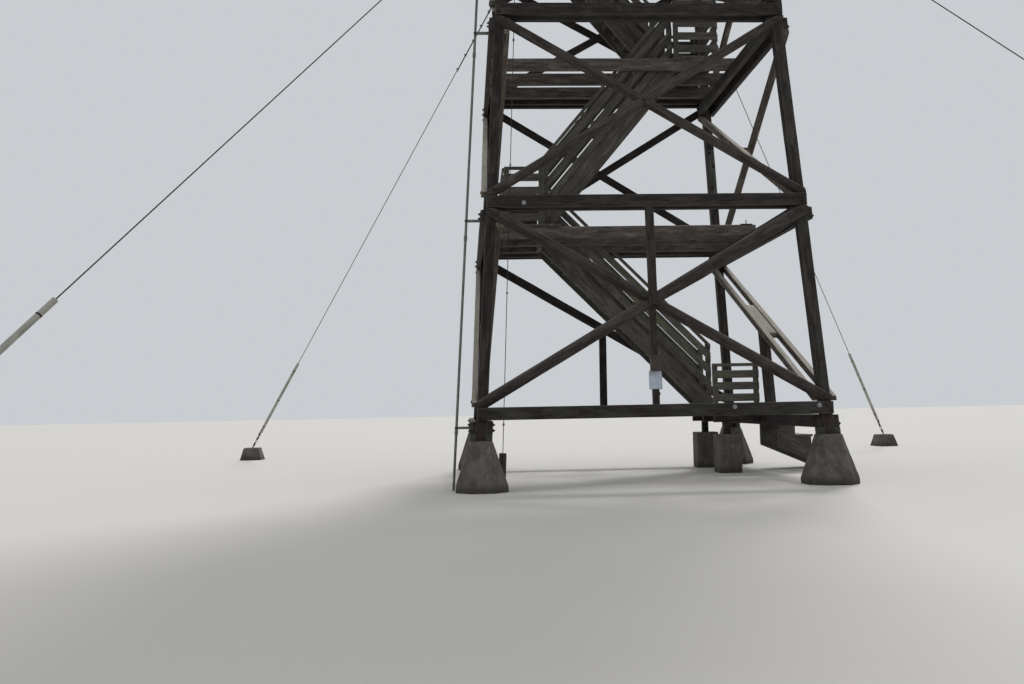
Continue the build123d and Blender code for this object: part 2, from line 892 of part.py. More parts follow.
def guy_line(side_x, side_y):
    head_offset = half_width(guy_height) + guy_collar_wall + guy_lug_length * math.sqrt(0.5)
    foot_offset = head_offset + guy_reach * math.sqrt(0.5)
    head = Vector(side_x * head_offset, side_y * head_offset, guy_height)
    foot = Vector(side_x * foot_offset, side_y * foot_offset, anchor_height)
    return head, foot


guys = []
guy_guards = []
guy_anchors = []
guy_collars = []
for side_x, side_y in corners.values():
    head, foot = guy_line(side_x, side_y)
    along = (foot - head).normalized()
    wire_end = foot - along * anchor_rod_length
    tube_foot = wire_end - along * guard_tube_gap
    tube = rod(tube_foot - along * guard_tube_length, tube_foot, guard_tube_diameter)
    guys.append(rod(head, wire_end, guy_diameter))
    guy_guards.append(tube.cut(rod(head, foot, guy_diameter + guard_tube_fit)).solid())
    anchor_block = tapered_block((foot.X, foot.Y), anchor_width, anchor_top_width, 0, anchor_height)
    anchor_rod = rod(foot + along * anchor_rod_diameter, wire_end, anchor_rod_diameter)
    guy_anchors.append(joined([anchor_block, anchor_rod]))
    collar_middle = leg_centre(guy_height, side_x, side_y)
    outer = Pos(collar_middle.X, collar_middle.Y, guy_height) * Box(
        leg_size + 2 * guy_collar_wall, leg_size + 2 * guy_collar_wall, guy_collar_length
    )
    lug_section = Plane(origin=head, z_dir=along) * Rectangle(guy_lug_width, guy_lug_width)
    lug = Solid.extrude(lug_section.face(), along * (-2 * guy_lug_length))
    collar = outer.solid().fuse(lug).cut(make_leg(side_x, side_y)).solids()
    guy_collars.append(sorted(collar, key=lambda piece: -piece.volume)[0])
nodes["guy_wires"] = guys
nodes["guy_guards"] = guy_guards
nodes["guy_anchors"] = guy_anchors
nodes["guy_collars"] = guy_collars


# Pipe and ground wire

def leaning_place(height, outward_x, outward_y):
    """Place at a height, this far outside the left side and the front of the legs."""
    return (-half_width(height) - outward_x, -half_width(height) - outward_y, height)


pipe_foot = leaning_place(0, pipe_reach, -pipe_inset)
pipe_head = leaning_place(cap_beam_top, pipe_reach, -pipe_inset)
pipe = upright_rod(pipe_foot, pipe_head, pipe_diameter)
nodes["side_pipe"] = [pipe]
brackets = []
for side_top in side_girt_tops:
    height = side_top - girt_depth / 2
    place = leaning_place(height, pipe_reach, -pipe_inset)
    arm = block(
        (place[0], -half_width(height)),
        (place[1] - pipe_bracket_size / 2, place[1] + pipe_bracket_size / 2),
        (height - pipe_bracket_size / 2, height + pipe_bracket_size / 2),
    )
    brackets.append(arm.cut(pipe, *nodes["left_girts"]).solids().sort_by(SortBy.VOLUME)[-1])
nodes["pipe_brackets"] = brackets

# The ground wire's upper end is under the inner plank of the top front girt.
wire_top = front_girt_bottoms[3] - ground_wire_gap
wire_foot = leaning_place(0, -ground_wire_foot_inset[0], -ground_wire_foot_inset[1])
wire_head = leaning_place(wire_top, -ground_wire_head_inset, -leg_size - plank_thickness / 2)
nodes["ground_wire"] = [upright_rod(wire_foot, wire_head, ground_wire_diameter)]


# Catwalk floor

half_walk = catwalk_width / 2
beam_line = half_width(leg_top) - leg_size / 2
cap_beams = []
for line in (-beam_line, beam_line):
    across = (line - cap_beam_width / 2, line + cap_beam_width / 2)
    cap_beams.append(block(across, (-half_walk, half_walk), (leg_top, cap_beam_top)))
nodes["cap_beams"] = cap_beams

hatch_left = flight_3_foot - flight_3_going * (flight_3_risers - 1)
hatch_right = hatch_left + hatch_head
hatch_near = far_strip[0] - strip_clearance
hatch_far = far_strip[1] + strip_clearance
floor_joists = []
line = joist_lines[1]
while line - floor_joist_pitch > -half_walk + floor_joist_width:
    line -= floor_joist_pitch
while line < half_walk - floor_joist_width:
    spans = [(-half_walk, half_walk)]
    if hatch_near < line < hatch_far:
        spans = [(-half_walk, hatch_left - floor_joist_width), (hatch_right + floor_joist_width, half_walk)]
    across = (line - floor_joist_width / 2, line + floor_joist_width / 2)
    for span in spans:
        floor_joists.append(block(span, across, (cap_beam_top, floor_joist_top)))
    line += floor_joist_pitch
nodes["floor_joists"] = floor_joists
floor = block((-half_walk, half_walk), (-half_walk, half_walk), (floor_joist_top, floor_top))
hatch = block((hatch_left, hatch_right), (hatch_near, hatch_far), (floor_joist_top, floor_top))
nodes["catwalk_floor"] = [floor.cut(hatch).solid()]


# Catwalk railing: one panel a side

def walk_panel():
    half = half_walk
    face = -half
    post_line = (face, face + catwalk_post_width)
    clear = catwalk_post_width + catwalk_panel_gap
    pieces = []
    span = 2 * half - clear
    for index in range(catwalk_posts_per_side):
        post_left = -half + index * (span - catwalk_post_width) / (catwalk_posts_per_side - 1)
        post_right = post_left + catwalk_post_width
        pieces.append(block((post_left, post_right), post_line, (floor_top, floor_top + catwalk_rail_height)))
    for index in range(catwalk_rail_count):
        top = floor_top + catwalk_rail_height * (index + 1) / catwalk_rail_count
        rail_line = (face - catwalk_rail_thickness, face)
        pieces.append(block((-half, -half + span), rail_line, (top - catwalk_rail_depth, top)))
    return joined(pieces)


rail_panels = []
for face in ("front", "right", "back", "left"):
    rail_panels += turned([walk_panel()], face)
nodes["catwalk_railing"] = rail_panels


# Cab

half_cab = cab_width / 2
inner_cab = half_cab - wall_thickness
window_low = floor_top + sill_height
window_high = window_low + window_height
window_span = cab_width - 2 * corner_width
window_width = (window_span - mullion_width * (windows_per_wall - 1)) / windows_per_wall


def window_left(index):
    return -half_cab + corner_width + index * (window_width + mullion_width)


def cab_wall(full_width, has_door):
    """Front wall with its windows cut through; a side wall fits between the front and back walls."""
    reach = half_cab if full_width else inner_cab
    wall = block((-reach, reach), (-half_cab, -inner_cab), (floor_top, wall_top))
    panes = []
    doors = []
    glass_line = -half_cab + wall_thickness / 2
    for index in range(windows_per_wall):
        left = window_left(index)
        right = left + window_width
        if has_door and index == 1:
            door_middle = (left + right) / 2
            door_range = (door_middle - door_width / 2, door_middle + door_width / 2)
            wall = wall.cut(block(door_range, (-half_cab, -inner_cab), (floor_top, floor_top + door_height)))
            doors.append(
                block(
                    (door_range[0], door_range[1] - door_gap),
                    (glass_line - door_thickness / 2, glass_line + door_thickness / 2),
                    (floor_top, floor_top + door_height - door_gap),
                )
            )
        else:
            wall = wall.cut(block((left, right), (-half_cab, -inner_cab), (window_low, window_high)))
            panes.append(
                block(
                    (left, right),
                    (glass_line - glass_thickness / 2, glass_line + glass_thickness / 2),
                    (window_low, window_high),
                )
            )
    return wall.solid(), panes, doors


panes = []
doors = []
for face, full_width, has_door in (
    ("front", True, False),
    ("right", False, True),
    ("back", True, False),
    ("left", False, False),
):
    wall, wall_panes, wall_doors = cab_wall(full_width, has_door)
    nodes["cab_wall_" + face] = turned([wall], face)
    panes += turned(wall_panes, face)
    doors += turned(wall_doors, face)
nodes["window_glass"] = panes
nodes["cab_door"] = doors

eaves_half = half_cab + eaves
ceiling_top = wall_top + ceiling_thickness
nodes["cab_ceiling"] = [
    block((-eaves_half, eaves_half), (-eaves_half, eaves_half), (wall_top, ceiling_top))
]


def hip_roof():
    """Four-sided roof shell with a short upright edge."""
    edge = block((-eaves_half, eaves_half), (-eaves_half, eaves_half), (ceiling_top, ceiling_top + roof_edge))
    edge_top = ceiling_top + roof_edge
    top = edge_top + roof_rise
    outer = joined([edge, tapered_block((0, 0), 2 * eaves_half, cap_size, edge_top, top)])
    slope_run = (eaves_half - cap_size / 2) / roof_rise
    inner_width = 2 * (eaves_half - slope_run * (roof_thickness - roof_edge))
    inner_top = top - roof_thickness
    inner = tapered_block((0, 0), inner_width, cap_size, ceiling_top, inner_top)
    return outer.cut(inner).solid(), top


roof, roof_top = hip_roof()
nodes["roof"] = [roof]
cap = block((-cap_size / 2, cap_size / 2), (-cap_size / 2, cap_size / 2), (roof_top, roof_top + cap_height))
nodes["roof_cap"] = [cap]


# Write one file for each piece

os.makedirs("parts", exist_ok=True)
for name, solids in nodes.items():
    shape = solids[0] if len(solids) == 1 else Compound(children=list(solids))
    shape.label = name
    export_step(shape, "parts/" + name + ".step")
print(len(nodes), "pieces,", sum(len(solids) for solids in nodes.values()), "solids")
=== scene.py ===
import math
import random

import bmesh
import bpy
from mathutils import Matrix, Vector
from mathutils import noise as field


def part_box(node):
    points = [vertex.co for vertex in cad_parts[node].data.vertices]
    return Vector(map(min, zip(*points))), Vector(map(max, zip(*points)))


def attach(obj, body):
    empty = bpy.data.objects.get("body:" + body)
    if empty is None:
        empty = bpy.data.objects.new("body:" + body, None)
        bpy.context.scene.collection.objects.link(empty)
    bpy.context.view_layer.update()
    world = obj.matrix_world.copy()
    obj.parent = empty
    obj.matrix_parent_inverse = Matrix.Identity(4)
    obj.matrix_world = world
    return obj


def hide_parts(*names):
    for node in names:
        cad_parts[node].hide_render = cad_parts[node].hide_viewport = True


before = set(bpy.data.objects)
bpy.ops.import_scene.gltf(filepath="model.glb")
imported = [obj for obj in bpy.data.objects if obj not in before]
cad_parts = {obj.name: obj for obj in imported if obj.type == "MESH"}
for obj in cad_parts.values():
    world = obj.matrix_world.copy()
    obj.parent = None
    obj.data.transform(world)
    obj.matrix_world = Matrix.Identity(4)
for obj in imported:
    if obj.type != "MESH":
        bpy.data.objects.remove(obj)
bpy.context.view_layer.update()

# Fire lookout tower, dressed around its solids. All lengths are in metres.
MM = 0.001
MERGE_DISTANCE = 0.05 * MM
FLAT_WITHIN = math.radians(0.5)
QUARTER_TURN = math.pi / 2
UP = Vector((0, 0, 1))

# Camera: standing in front of the tower and a little to its left, looking slightly up
CAMERA_PLACE = Vector((-2.921, -17.188, 1.273))
CAMERA_YAW = math.radians(-2.879)
CAMERA_PITCH = math.radians(3.931)
CAMERA_ROLL = math.radians(-1.133)
CAMERA_LENS_MM = 33.27
CAMERA_SENSOR_MM = 36
CAMERA_REACH = 300


def build_camera():
    data = bpy.data.cameras.new("camera")
    data.lens = CAMERA_LENS_MM
    data.sensor_width = CAMERA_SENSOR_MM
    data.clip_end = CAMERA_REACH
    camera = bpy.data.objects.new("camera", data)
    bpy.context.scene.collection.objects.link(camera)
    turn = Matrix.Rotation(CAMERA_YAW, 4, "Z") @ Matrix.Rotation(QUARTER_TURN + CAMERA_PITCH, 4, "X")
    camera.matrix_world = Matrix.Translation(CAMERA_PLACE) @ turn @ Matrix.Rotation(CAMERA_ROLL, 4, "Z")
    bpy.context.scene.camera = camera


build_camera()

# Legs, read from the solids
LEG_SIZE = 0.165
leg_low, leg_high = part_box("leg_front_left")
LEG_FOOT = leg_low.z
LEG_TOP = leg_high.z
HALF_AT_FOOT = -leg_low.x
HALF_AT_TOP = -(leg_high.x - LEG_SIZE)
BATTER = (HALF_AT_FOOT - HALF_AT_TOP) / (LEG_TOP - LEG_FOOT)
FACE_TURNS = {"front": 0, "right": 90, "back": 180, "left": 270}
SIDE_FACES = ("left", "right")
CORNERS = ("front_left", "front_right", "back_left", "back_right")

PLANK = 0.088                                  # girts and side braces, out from the legs
POLE_REACH = (0.0875, 0.0775, 0.0775)          # front and back poles of each bay, out from the legs
MID_POST = 0.060                               # middle post of the first bay, over the poles


def turn_of(face):
    return Matrix.Rotation(math.radians(FACE_TURNS[face]), 4, "Z")


def half_width(height):
    """Distance from the middle of the tower to the outside of its legs at a height."""
    return HALF_AT_FOOT - BATTER * (height - LEG_FOOT)


def face_place(face, across, height, outward=0.0):
    """Place on a leaning face of the tower: X runs along the face, Y up it and Z straight out of it."""
    along = Vector((1, 0, 0))
    upward = Vector((0, BATTER, 1)).normalized()
    place = Matrix((along, upward, along.cross(upward))).transposed().to_4x4()
    place.translation = Vector((across, -half_width(height) - outward, height))
    return turn_of(face) @ place


def colour(code):
    """Linear colour from an sRGB hex code."""
    channels = [int(code[index:index + 2], 16) / 255 for index in (1, 3, 5)]
    linear = [c / 12.92 if c <= 0.04045 else ((c + 0.055) / 1.055) ** 2.4 for c in channels]
    return (*linear, 1)


# Selection and small modelling steps

def to_objects():
    if bpy.context.object and bpy.context.object.mode != "OBJECT":
        bpy.ops.object.mode_set(mode="OBJECT")


def deselect_all():
    to_objects()
    bpy.ops.object.select_all(action="DESELECT")


def choose(piece):
    deselect_all()
    piece.select_set(True)
    bpy.context.view_layer.objects.active = piece


def select_in(piece, kind, test):
    """Leaves a piece in edit mode with those vertices, edges or faces selected that pass a test."""
    choose(piece)
    bpy.ops.object.mode_set(mode="EDIT")
    bpy.ops.mesh.select_mode(type=kind)
    bpy.ops.mesh.select_all(action="DESELECT")
    bpy.ops.object.mode_set(mode="OBJECT")
    mesh = piece.data
    for part in {"VERT": mesh.vertices, "EDGE": mesh.edges, "FACE": mesh.polygons}[kind]:
        part.select = test(part)
    bpy.ops.object.mode_set(mode="EDIT")


def select_whole(piece):
    choose(piece)
    bpy.ops.object.mode_set(mode="EDIT")
    bpy.ops.mesh.select_all(action="SELECT")


def shift(piece, test, offset):
    """Moves the vertices whose place passes a test."""
    select_in(piece, "VERT", lambda vertex: test(vertex.co))
    bpy.ops.transform.translate(value=offset)
    to_objects()


def add_modifier(piece, kind, **settings):
    """Adds a modifier with its settings and applies it."""
    choose(piece)
    modifier = piece.modifiers.new(kind.title(), kind)
    for key, value in settings.items():
        setattr(modifier, key, value)
    bpy.ops.object.modifier_apply(modifier=modifier.name)


def place_in_mesh(piece):
    """Leaves the piece's object at the origin, with its place in its mesh."""
    choose(piece)
    bpy.ops.object.transform_apply(location=True, rotation=True, scale=True)


def round_edges(piece, width_mm, segments=2):
    add_modifier(
        piece, "BEVEL", width=width_mm * MM, segments=segments,
        limit_method="ANGLE", angle_limit=math.radians(30),
    )
    return piece


def new_block(low, high, wear_mm=0, segments=2):
    """Block between two corners, its edges rounded where a wear is given."""
    deselect_all()
    low = Vector(low)
    high = Vector(high)
    bpy.ops.mesh.primitive_cube_add(size=1, location=(low + high) / 2)
    piece = bpy.context.object
    piece.scale = high - low
    place_in_mesh(piece)
    return round_edges(piece, wear_mm, segments) if wear_mm else piece


def new_round(radius, depth, sides, location=(0, 0, 0), rotation=(0, 0, 0), wear_mm=0, segments=2):
    """Round or many-sided bar, its edges rounded where a wear is given."""
    deselect_all()
    bpy.ops.mesh.primitive_cylinder_add(
        radius=radius, depth=depth, vertices=sides, location=location, rotation=rotation
    )
    piece = bpy.context.object
    place_in_mesh(piece)
    return round_edges(piece, wear_mm, segments) if wear_mm else piece


def new_ring(major, minor, location=(0, 0, 0), rotation=(0, 0, 0), scale=(1, 1, 1)):
    deselect_all()
    bpy.ops.mesh.primitive_torus_add(
        major_radius=major, minor_radius=minor, major_segments=24, minor_segments=8,
        location=location, rotation=rotation,
    )
    piece = bpy.context.object
    piece.scale = scale
    place_in_mesh(piece)
    return piece


def new_sheet(width, depth, cuts=0, rotation=(0, 0, 0)):
    """Flat sheet about the origin, divided by even cuts, to be shaped and given a thickness."""
    deselect_all()
    bpy.ops.mesh.primitive_plane_add(size=1, rotation=rotation)
    piece = bpy.context.object
    piece.scale = (width, depth, 1)
    place_in_mesh(piece)
    if cuts:
        select_whole(piece)
        bpy.ops.mesh.subdivide(number_cuts=cuts)
        to_objects()
    return piece


def smooth(piece, angle=35):
    choose(piece)
    bpy.ops.object.shade_smooth_by_angle(angle=math.radians(angle))
    return piece


def joined(pieces):
    """Pieces joined into the first of them."""
    deselect_all()
    for piece in pieces:
        piece.select_set(True)
    bpy.context.view_layer.objects.active = pieces[0]
    bpy.ops.object.join()
    return pieces[0]


def copies(model, places):
    """One piece with a copy of the model's mesh at each place. The model itself goes."""
    mesh = bmesh.new()
    for place in places:
        copy = model.data.copy()
        copy.transform(place)
        mesh.from_mesh(copy)
        bpy.data.meshes.remove(copy)
    mesh.to_mesh(model.data)
    mesh.free()
    return model


def in_a_row(piece, count, step):
    """Repeats a piece's mesh by even steps."""
    add_modifier(piece, "ARRAY", count=count, use_relative_offset=False, use_constant_offset=True,
                 constant_offset_displace=step)
    return piece


def cut_away(piece, cutter):
    """Cuts one piece with another, which goes."""
    add_modifier(piece, "BOOLEAN", operation="DIFFERENCE", object=cutter, solver="EXACT")
    bpy.data.objects.remove(cutter)


def cut_across(piece, axis, spacing):
    """Cuts a piece by even planes square to an axis, so that its long timbers can be a little uneven."""
    places = [vertex.co[axis] for vertex in piece.data.vertices]
    low = min(places)
    count = int((max(places) - low) / spacing)
    normal = Vector([1.0 if index == axis else 0.0 for index in range(3)])
    for index in range(1, count + 1):
        select_whole(piece)
        place = normal * (low + index * (max(places) - low) / (count + 1))
        bpy.ops.mesh.bisect(plane_co=place, plane_no=normal)
    to_objects()


def close_holes(piece):
    """Merges points that lie on each other, fills what gaps are left and turns all faces outward."""
    select_whole(piece)
    bpy.ops.mesh.remove_doubles(threshold=MERGE_DISTANCE)
    bpy.ops.mesh.dissolve_degenerate(threshold=MERGE_DISTANCE)
    bpy.ops.mesh.select_all(action="SELECT")
    bpy.ops.mesh.fill_holes(sides=0)
    bpy.ops.mesh.select_all(action="SELECT")
    bpy.ops.mesh.normals_make_consistent(inside=False)
    to_objects()


def cloud_texture(name, size):
    texture = bpy.data.textures.new(name, "CLOUDS")
    texture.noise_scale = size
    return texture


SLOW_WAVES = cloud_texture("slow_waves", 0.55)
QUICK_WAVES = cloud_texture("quick_waves", 0.09)
QUICK_SHARE = 0.4              # of the slow waves' depth


def make_uneven(piece, texture, depth):
    add_modifier(piece, "DISPLACE", texture=texture, texture_coords="LOCAL", strength=depth, mid_level=0.5)


# Grain: where each face lies in its own timber

CELL_LIMIT = 0.9               # a face this square to its timber is cut across the grain
TONE_CELL = 0.12               # boards this far apart differ in tone
GRAIN_SPREAD = (40, 4, 4)      # how far apart the timbers lie in the pattern
UPRIGHT = 0.1
ARRIS_SHARE = 1.6              # an arris face is at most this many wear widths wide


def islands(mesh):
    """Groups of faces that hang together."""
    mesh.faces.ensure_lookup_table()
    found = []
    seen = set()
    for start in mesh.faces:
        if start.index in seen:
            continue
        seen.add(start.index)
        group = [start]
        for face in group:
            for edge in face.edges:
                for other in edge.link_faces:
                    if other.index not in seen:
                        seen.add(other.index)
                        group.append(other)
        found.append(group)
    return found


def solids_of(node):
    """Lowest and highest corner of each solid of a node."""
    mesh = bmesh.new()
    mesh.from_mesh(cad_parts[node].data)
    bmesh.ops.remove_doubles(mesh, verts=mesh.verts, dist=MERGE_DISTANCE)
    boxes = []
    for group in islands(mesh):
        places = [vertex.co for face in group for vertex in face.verts]
        low = Vector([min(place[axis] for place in places) for axis in range(3)])
        high = Vector([max(place[axis] for place in places) for axis in range(3)])
        boxes.append((low, high))
    mesh.free()
    return boxes


def edge_direction(edge):
    direction = (edge.verts[1].co - edge.verts[0].co).normalized()
    lead = max(range(3), key=lambda axis: abs(direction[axis]))
    return direction if direction[lead] > 0 else -direction


def longest_edge(faces):
    return max((edge for face in faces for edge in face.edges), key=lambda edge: edge.calc_length())


def write_grain(piece, tone_shift=0.0):
    """Writes each face's place along and across its own timber, and a tone for each timber."""
    mesh = bmesh.new()
    mesh.from_mesh(piece.data)
    grain = mesh.loops.layers.float_vector.new("grain")
    tone = mesh.faces.layers.float.new("tone")
    for number, group in enumerate(islands(mesh)):
        length_axis = edge_direction(longest_edge(group))
        draw = random.Random(f"{piece.name} {number}")
        offset = Vector([draw.uniform(0, reach) for reach in GRAIN_SPREAD])
        island_tone = draw.random()
        for face in group:
            along = edge_direction(longest_edge([face]))
            if abs(face.normal.dot(length_axis)) > CELL_LIMIT:
                along = length_axis
            second = along.cross(UP)
            if second.length < UPRIGHT:
                second = along.cross(Vector((1, 0, 0)))
            second.normalize()
            third = along.cross(second)
            middle = face.calc_center_median()
            cell = (round(middle.dot(second) / TONE_CELL), round(middle.dot(third) / TONE_CELL))
            board_tone = random.Random(f"{piece.name} {number} {cell}").random()
            face[tone] = (island_tone + board_tone) / 2 + tone_shift
            for loop in face.loops:
                place = loop.vert.co
                loop[grain] = Vector((place.dot(along), place.dot(second), place.dot(third))) + offset
    mesh.to_mesh(piece.data)
    mesh.free()


def mark_worn(piece, width):
    """Marks the narrow faces along a timber's arrises, where weather and hands have worn it."""
    layer = piece.data.attributes.new("worn", "FLOAT", "FACE")
    mesh = piece.data
    for face in mesh.polygons:
        corners = [mesh.vertices[index].co for index in face.vertices]
        longest = max((corners[index] - corners[index - 1]).length for index in range(len(corners)))
        layer.data[face.index].value = 1.0 if face.area < longest * width * ARRIS_SHARE else 0.0


# Materials

def add(tree, kind, inputs=(), output=0, **settings):
    """Adds a node with its settings and inputs, values or other nodes' outputs, and gives one output."""
    node = tree.nodes.new("ShaderNode" + kind)
    for key, value in settings.items():
        setattr(node, key, value)
    for key, value in inputs.items() if isinstance(inputs, dict) else enumerate(inputs):
        if isinstance(value, bpy.types.NodeSocket):
            tree.links.new(value, node.inputs[key])
        else:
            node.inputs[key].default_value = value
    return node.outputs[output]


def new_material(name):
    material = bpy.data.materials.new(name)
    material.use_nodes = True
    tree = material.node_tree
    return material, tree, tree.nodes["Principled BSDF"]


def pattern(tree, vector, lumps, detail=3, roughness=0.55, distortion=0.0):
    """Cloudy pattern whose lumps have their real size along each coordinate."""
    mapped = add(tree, "Mapping", {"Vector": vector, "Scale": [1 / length for length in lumps]})
    return add(tree, "TexNoise", {
        "Vector": mapped, "Scale": 1, "Detail": detail, "Roughness": roughness, "Distortion": distortion})


# A colour mix has its share at socket 0, the colours at 6 and 7 and its result at output 2.

def laid_over(tree, base, shade, *spans):
    """The base under a shade, by the product of spans: value, low, high, and the share at low and high."""
    share = add(tree, "MapRange", spans[0])
    for span in spans[1:]:
        share = add(tree, "Math", (share, add(tree, "MapRange", span)), operation="MULTIPLY")
    return add(tree, "Mix", {0: share, 6: base, 7: shade}, 2, data_type="RGBA")


def lightened(tree, base, value, low, high, darkest, lightest):
    """The base colour times a lightness that follows a value."""
    factor = add(tree, "MapRange", (value, low, high, darkest, lightest))
    grey = add(tree, "CombineColor", (factor, factor, factor))
    return add(tree, "Mix", {0: 1.0, 6: base, 7: grey}, 2, data_type="RGBA", blend_type="MULTIPLY")


def link_finish(tree, shader, base, roughness, height, strength, depth_mm):
    """Gives the shader its colour, its roughness and the relief of a height."""
    bump = add(tree, "Bump", {"Height": height, "Strength": strength, "Distance": depth_mm * MM})
    for value, socket in ((base, "Base Color"), (roughness, "Roughness"), (bump, "Normal")):
        tree.links.new(value, shader.inputs[socket])


KNOT_CELL = (0.42, 0.17, 0.17)
KNOT_SHADE = colour("#171210")
SPLIT_SHADE = colour("#0d0b0a")
SPLIT_WIDTH = 0.013
EDGE_BLEACH = 0.45


def weathered_wood(
    name, shades, streak_mm, bleach_and_top_light_share=0.6, check_share=0.5, tint=None, knots=0.8, contrast=1.0
):
    """Sawn softwood left outside for decades: grey fibres over darker wood, splits, and a paler top that is
    partly sun bleaching and partly a painted highlight.
    """
    dark, body, pale, bleached = [colour(code) for code in shades]
    material, tree, shader = new_material(name)
    grain = add(tree, "Attribute", (), "Vector", attribute_name="grain")
    tone = add(tree, "Attribute", (), "Fac", attribute_name="tone")
    worn = add(tree, "Attribute", (), "Fac", attribute_name="worn")
    streak = streak_mm * MM
    streaks = pattern(tree, grain, (0.42, streak, streak), detail=5, roughness=0.62, distortion=0.2)
    fibres = pattern(tree, grain, (0.16, streak * 0.28, streak * 0.28))
    blotches = pattern(tree, grain, (0.36, 0.08, 0.08), detail=5, roughness=0.65)
    stains = pattern(tree, grain, (0.60, 0.14, 0.14), detail=4, roughness=0.65)
    splits = pattern(tree, grain, (1.3, 0.030, 0.030), detail=2, roughness=0.4, distortion=0.2)
    base = laid_over(tree, dark, body, (streaks, 0.36, 0.64, 1 - contrast))
    base = laid_over(tree, base, pale, (blotches, 0.46, 0.70, 0.0, 0.7 * contrast))
    for value, low, high, less, more in (
        (stains, 0.35, 0.65, 0.24, 0.16),
        (fibres, 0.35, 0.68, 0.26, 0.20),
        (tone, 0.0, 1.0, 0.34, 0.34),
    ):
        base = lightened(tree, base, value, low, high, 1 - less * contrast, 1 + more * contrast)
    if tint:
        base = laid_over(tree, base, colour(tint), (tone, 0.50, 0.70), (stains, 0.45, 0.60, 0.0, 0.6))
    # Knots: one place in each cell of the pattern, long along the grain, in some cells only.
    cells = add(tree, "Mapping", {"Vector": grain, "Scale": [1 / length for length in KNOT_CELL]})
    from_knot = add(tree, "TexVoronoi", {"Vector": cells, "Scale": 1.0}, "Distance")
    cell_draw = add(tree, "SeparateColor", (from_knot.node.outputs["Color"],))
    base = laid_over(tree, base, KNOT_SHADE, (from_knot, 0.05, 0.13, 1.0, 0.0),
                     (cell_draw, 0.55, 0.6, 0.0, knots))
    # Faces that look up are paler, partly bleached by the sun and partly a painted highlight of the light
    # from above; worn arrises are bleached a little.
    facing = add(tree, "NewGeometry", (), "Normal")
    upward = add(tree, "SeparateXYZ", (facing,), "Z")
    sun_bleach_and_top_light = add(tree, "MapRange", (upward, 0.30, 0.85, 0.0, bleach_and_top_light_share))
    on_edge = add(tree, "Math", (worn, bleach_and_top_light_share * EDGE_BLEACH), operation="MULTIPLY")
    bleach_and_top_light = add(tree, "Math", (sun_bleach_and_top_light, on_edge), operation="MAXIMUM")
    base = laid_over(tree, base, bleached, (bleach_and_top_light, 0.0, 1.0), (streaks, 0.2, 0.7, 0.35, 1.0))
    # A split is where the slow pattern passes its middle value, so it is thin and runs a long way.
    signed = add(tree, "Math", (splits, 0.5), operation="SUBTRACT")
    from_split = add(tree, "Math", (signed,), operation="ABSOLUTE")
    base = laid_over(tree, base, SPLIT_SHADE, (from_split, 0.0, SPLIT_WIDTH, 1.0, 0.0),
                     (blotches, 0.45, 0.60, 0.0, check_share))
    groove = add(tree, "MapRange", (from_split, 0.0, SPLIT_WIDTH, 1.2, 0.0))
    ridges = add(tree, "Math", (fibres, 0.5, streaks), operation="MULTIPLY_ADD")
    height = add(tree, "Math", (ridges, groove), operation="SUBTRACT")
    shader.inputs["Specular IOR Level"].default_value = 0.3
    roughness = add(tree, "MapRange", (streaks, 0.3, 0.7, 0.92, 0.72))
    link_finish(tree, shader, base, roughness, height, 0.8, 2.5)
    return material


def cast_concrete(name, shades):
    """Concrete cast between boards: grey paste with grit and pale scuffs, dark runs, and darker towards the
    bottom.
    """
    dark, body, pale, lichen = [colour(code) for code in shades]
    material, tree, shader = new_material(name)
    place = add(tree, "TexCoord", (), "Object")
    level = add(tree, "SeparateXYZ", (place,), "Z")
    patches = pattern(tree, place, (0.20, 0.20, 0.26), detail=5, roughness=0.62)
    runs = pattern(tree, place, (0.07, 0.07, 0.75), detail=4, roughness=0.6)
    grit = pattern(tree, place, (0.008, 0.008, 0.008), detail=2)
    scuffs = pattern(tree, place, (0.045, 0.045, 0.16), detail=5, roughness=0.7, distortion=0.5)
    base = laid_over(tree, dark, body, (patches, 0.36, 0.62))
    base = laid_over(tree, base, dark, (runs, 0.50, 0.68, 0.0, 0.6))
    base = laid_over(tree, base, pale, (scuffs, 0.60, 0.68, 0.0, 0.8))
    base = laid_over(tree, base, lichen, (patches, 0.60, 0.72, 0.0, 0.55))
    base = lightened(tree, base, grit, 0.3, 0.7, 0.84, 1.14)
    # Darker towards the bottom, over about the lowest tenth of a metre, with a patchy upper edge.
    foot = add(tree, "Math", (patches, -0.10, level), operation="MULTIPLY_ADD")
    base = lightened(tree, base, foot, -0.01, 0.10, 0.50, 1.0)
    roughness = add(tree, "MapRange", (patches, 0.3, 0.7, 0.82, 0.96))
    height = add(tree, "Math", (grit, scuffs), operation="ADD")
    link_finish(tree, shader, base, roughness, height, 0.6, 2.0)
    return material


def plain_surface(name, code, second_code, roughness, grain_mm, metallic=0.0, bump=0.25, patch_mm=60):
    """Two close colours in large patches, with fine grit."""
    material, tree, shader = new_material(name)
    place = add(tree, "TexCoord", (), "Object")
    patches = pattern(tree, place, [patch_mm * MM] * 3, detail=5, roughness=0.6)
    grit = pattern(tree, place, [grain_mm * MM] * 3)
    faint_grit = add(tree, "Math", (grit, 0.3), operation="MULTIPLY")
    mixed = add(tree, "Math", (patches, 0.7, faint_grit), operation="MULTIPLY_ADD")
    base = laid_over(tree, colour(code), colour(second_code), (mixed, 0.38, 0.62))
    shader.inputs["Metallic"].default_value = metallic
    rough = add(tree, "MapRange", (mixed, 0.3, 0.7, roughness - 0.08, min(1.0, roughness + 0.1)))
    link_finish(tree, shader, base, rough, mixed, bump, 1.5)
    return material


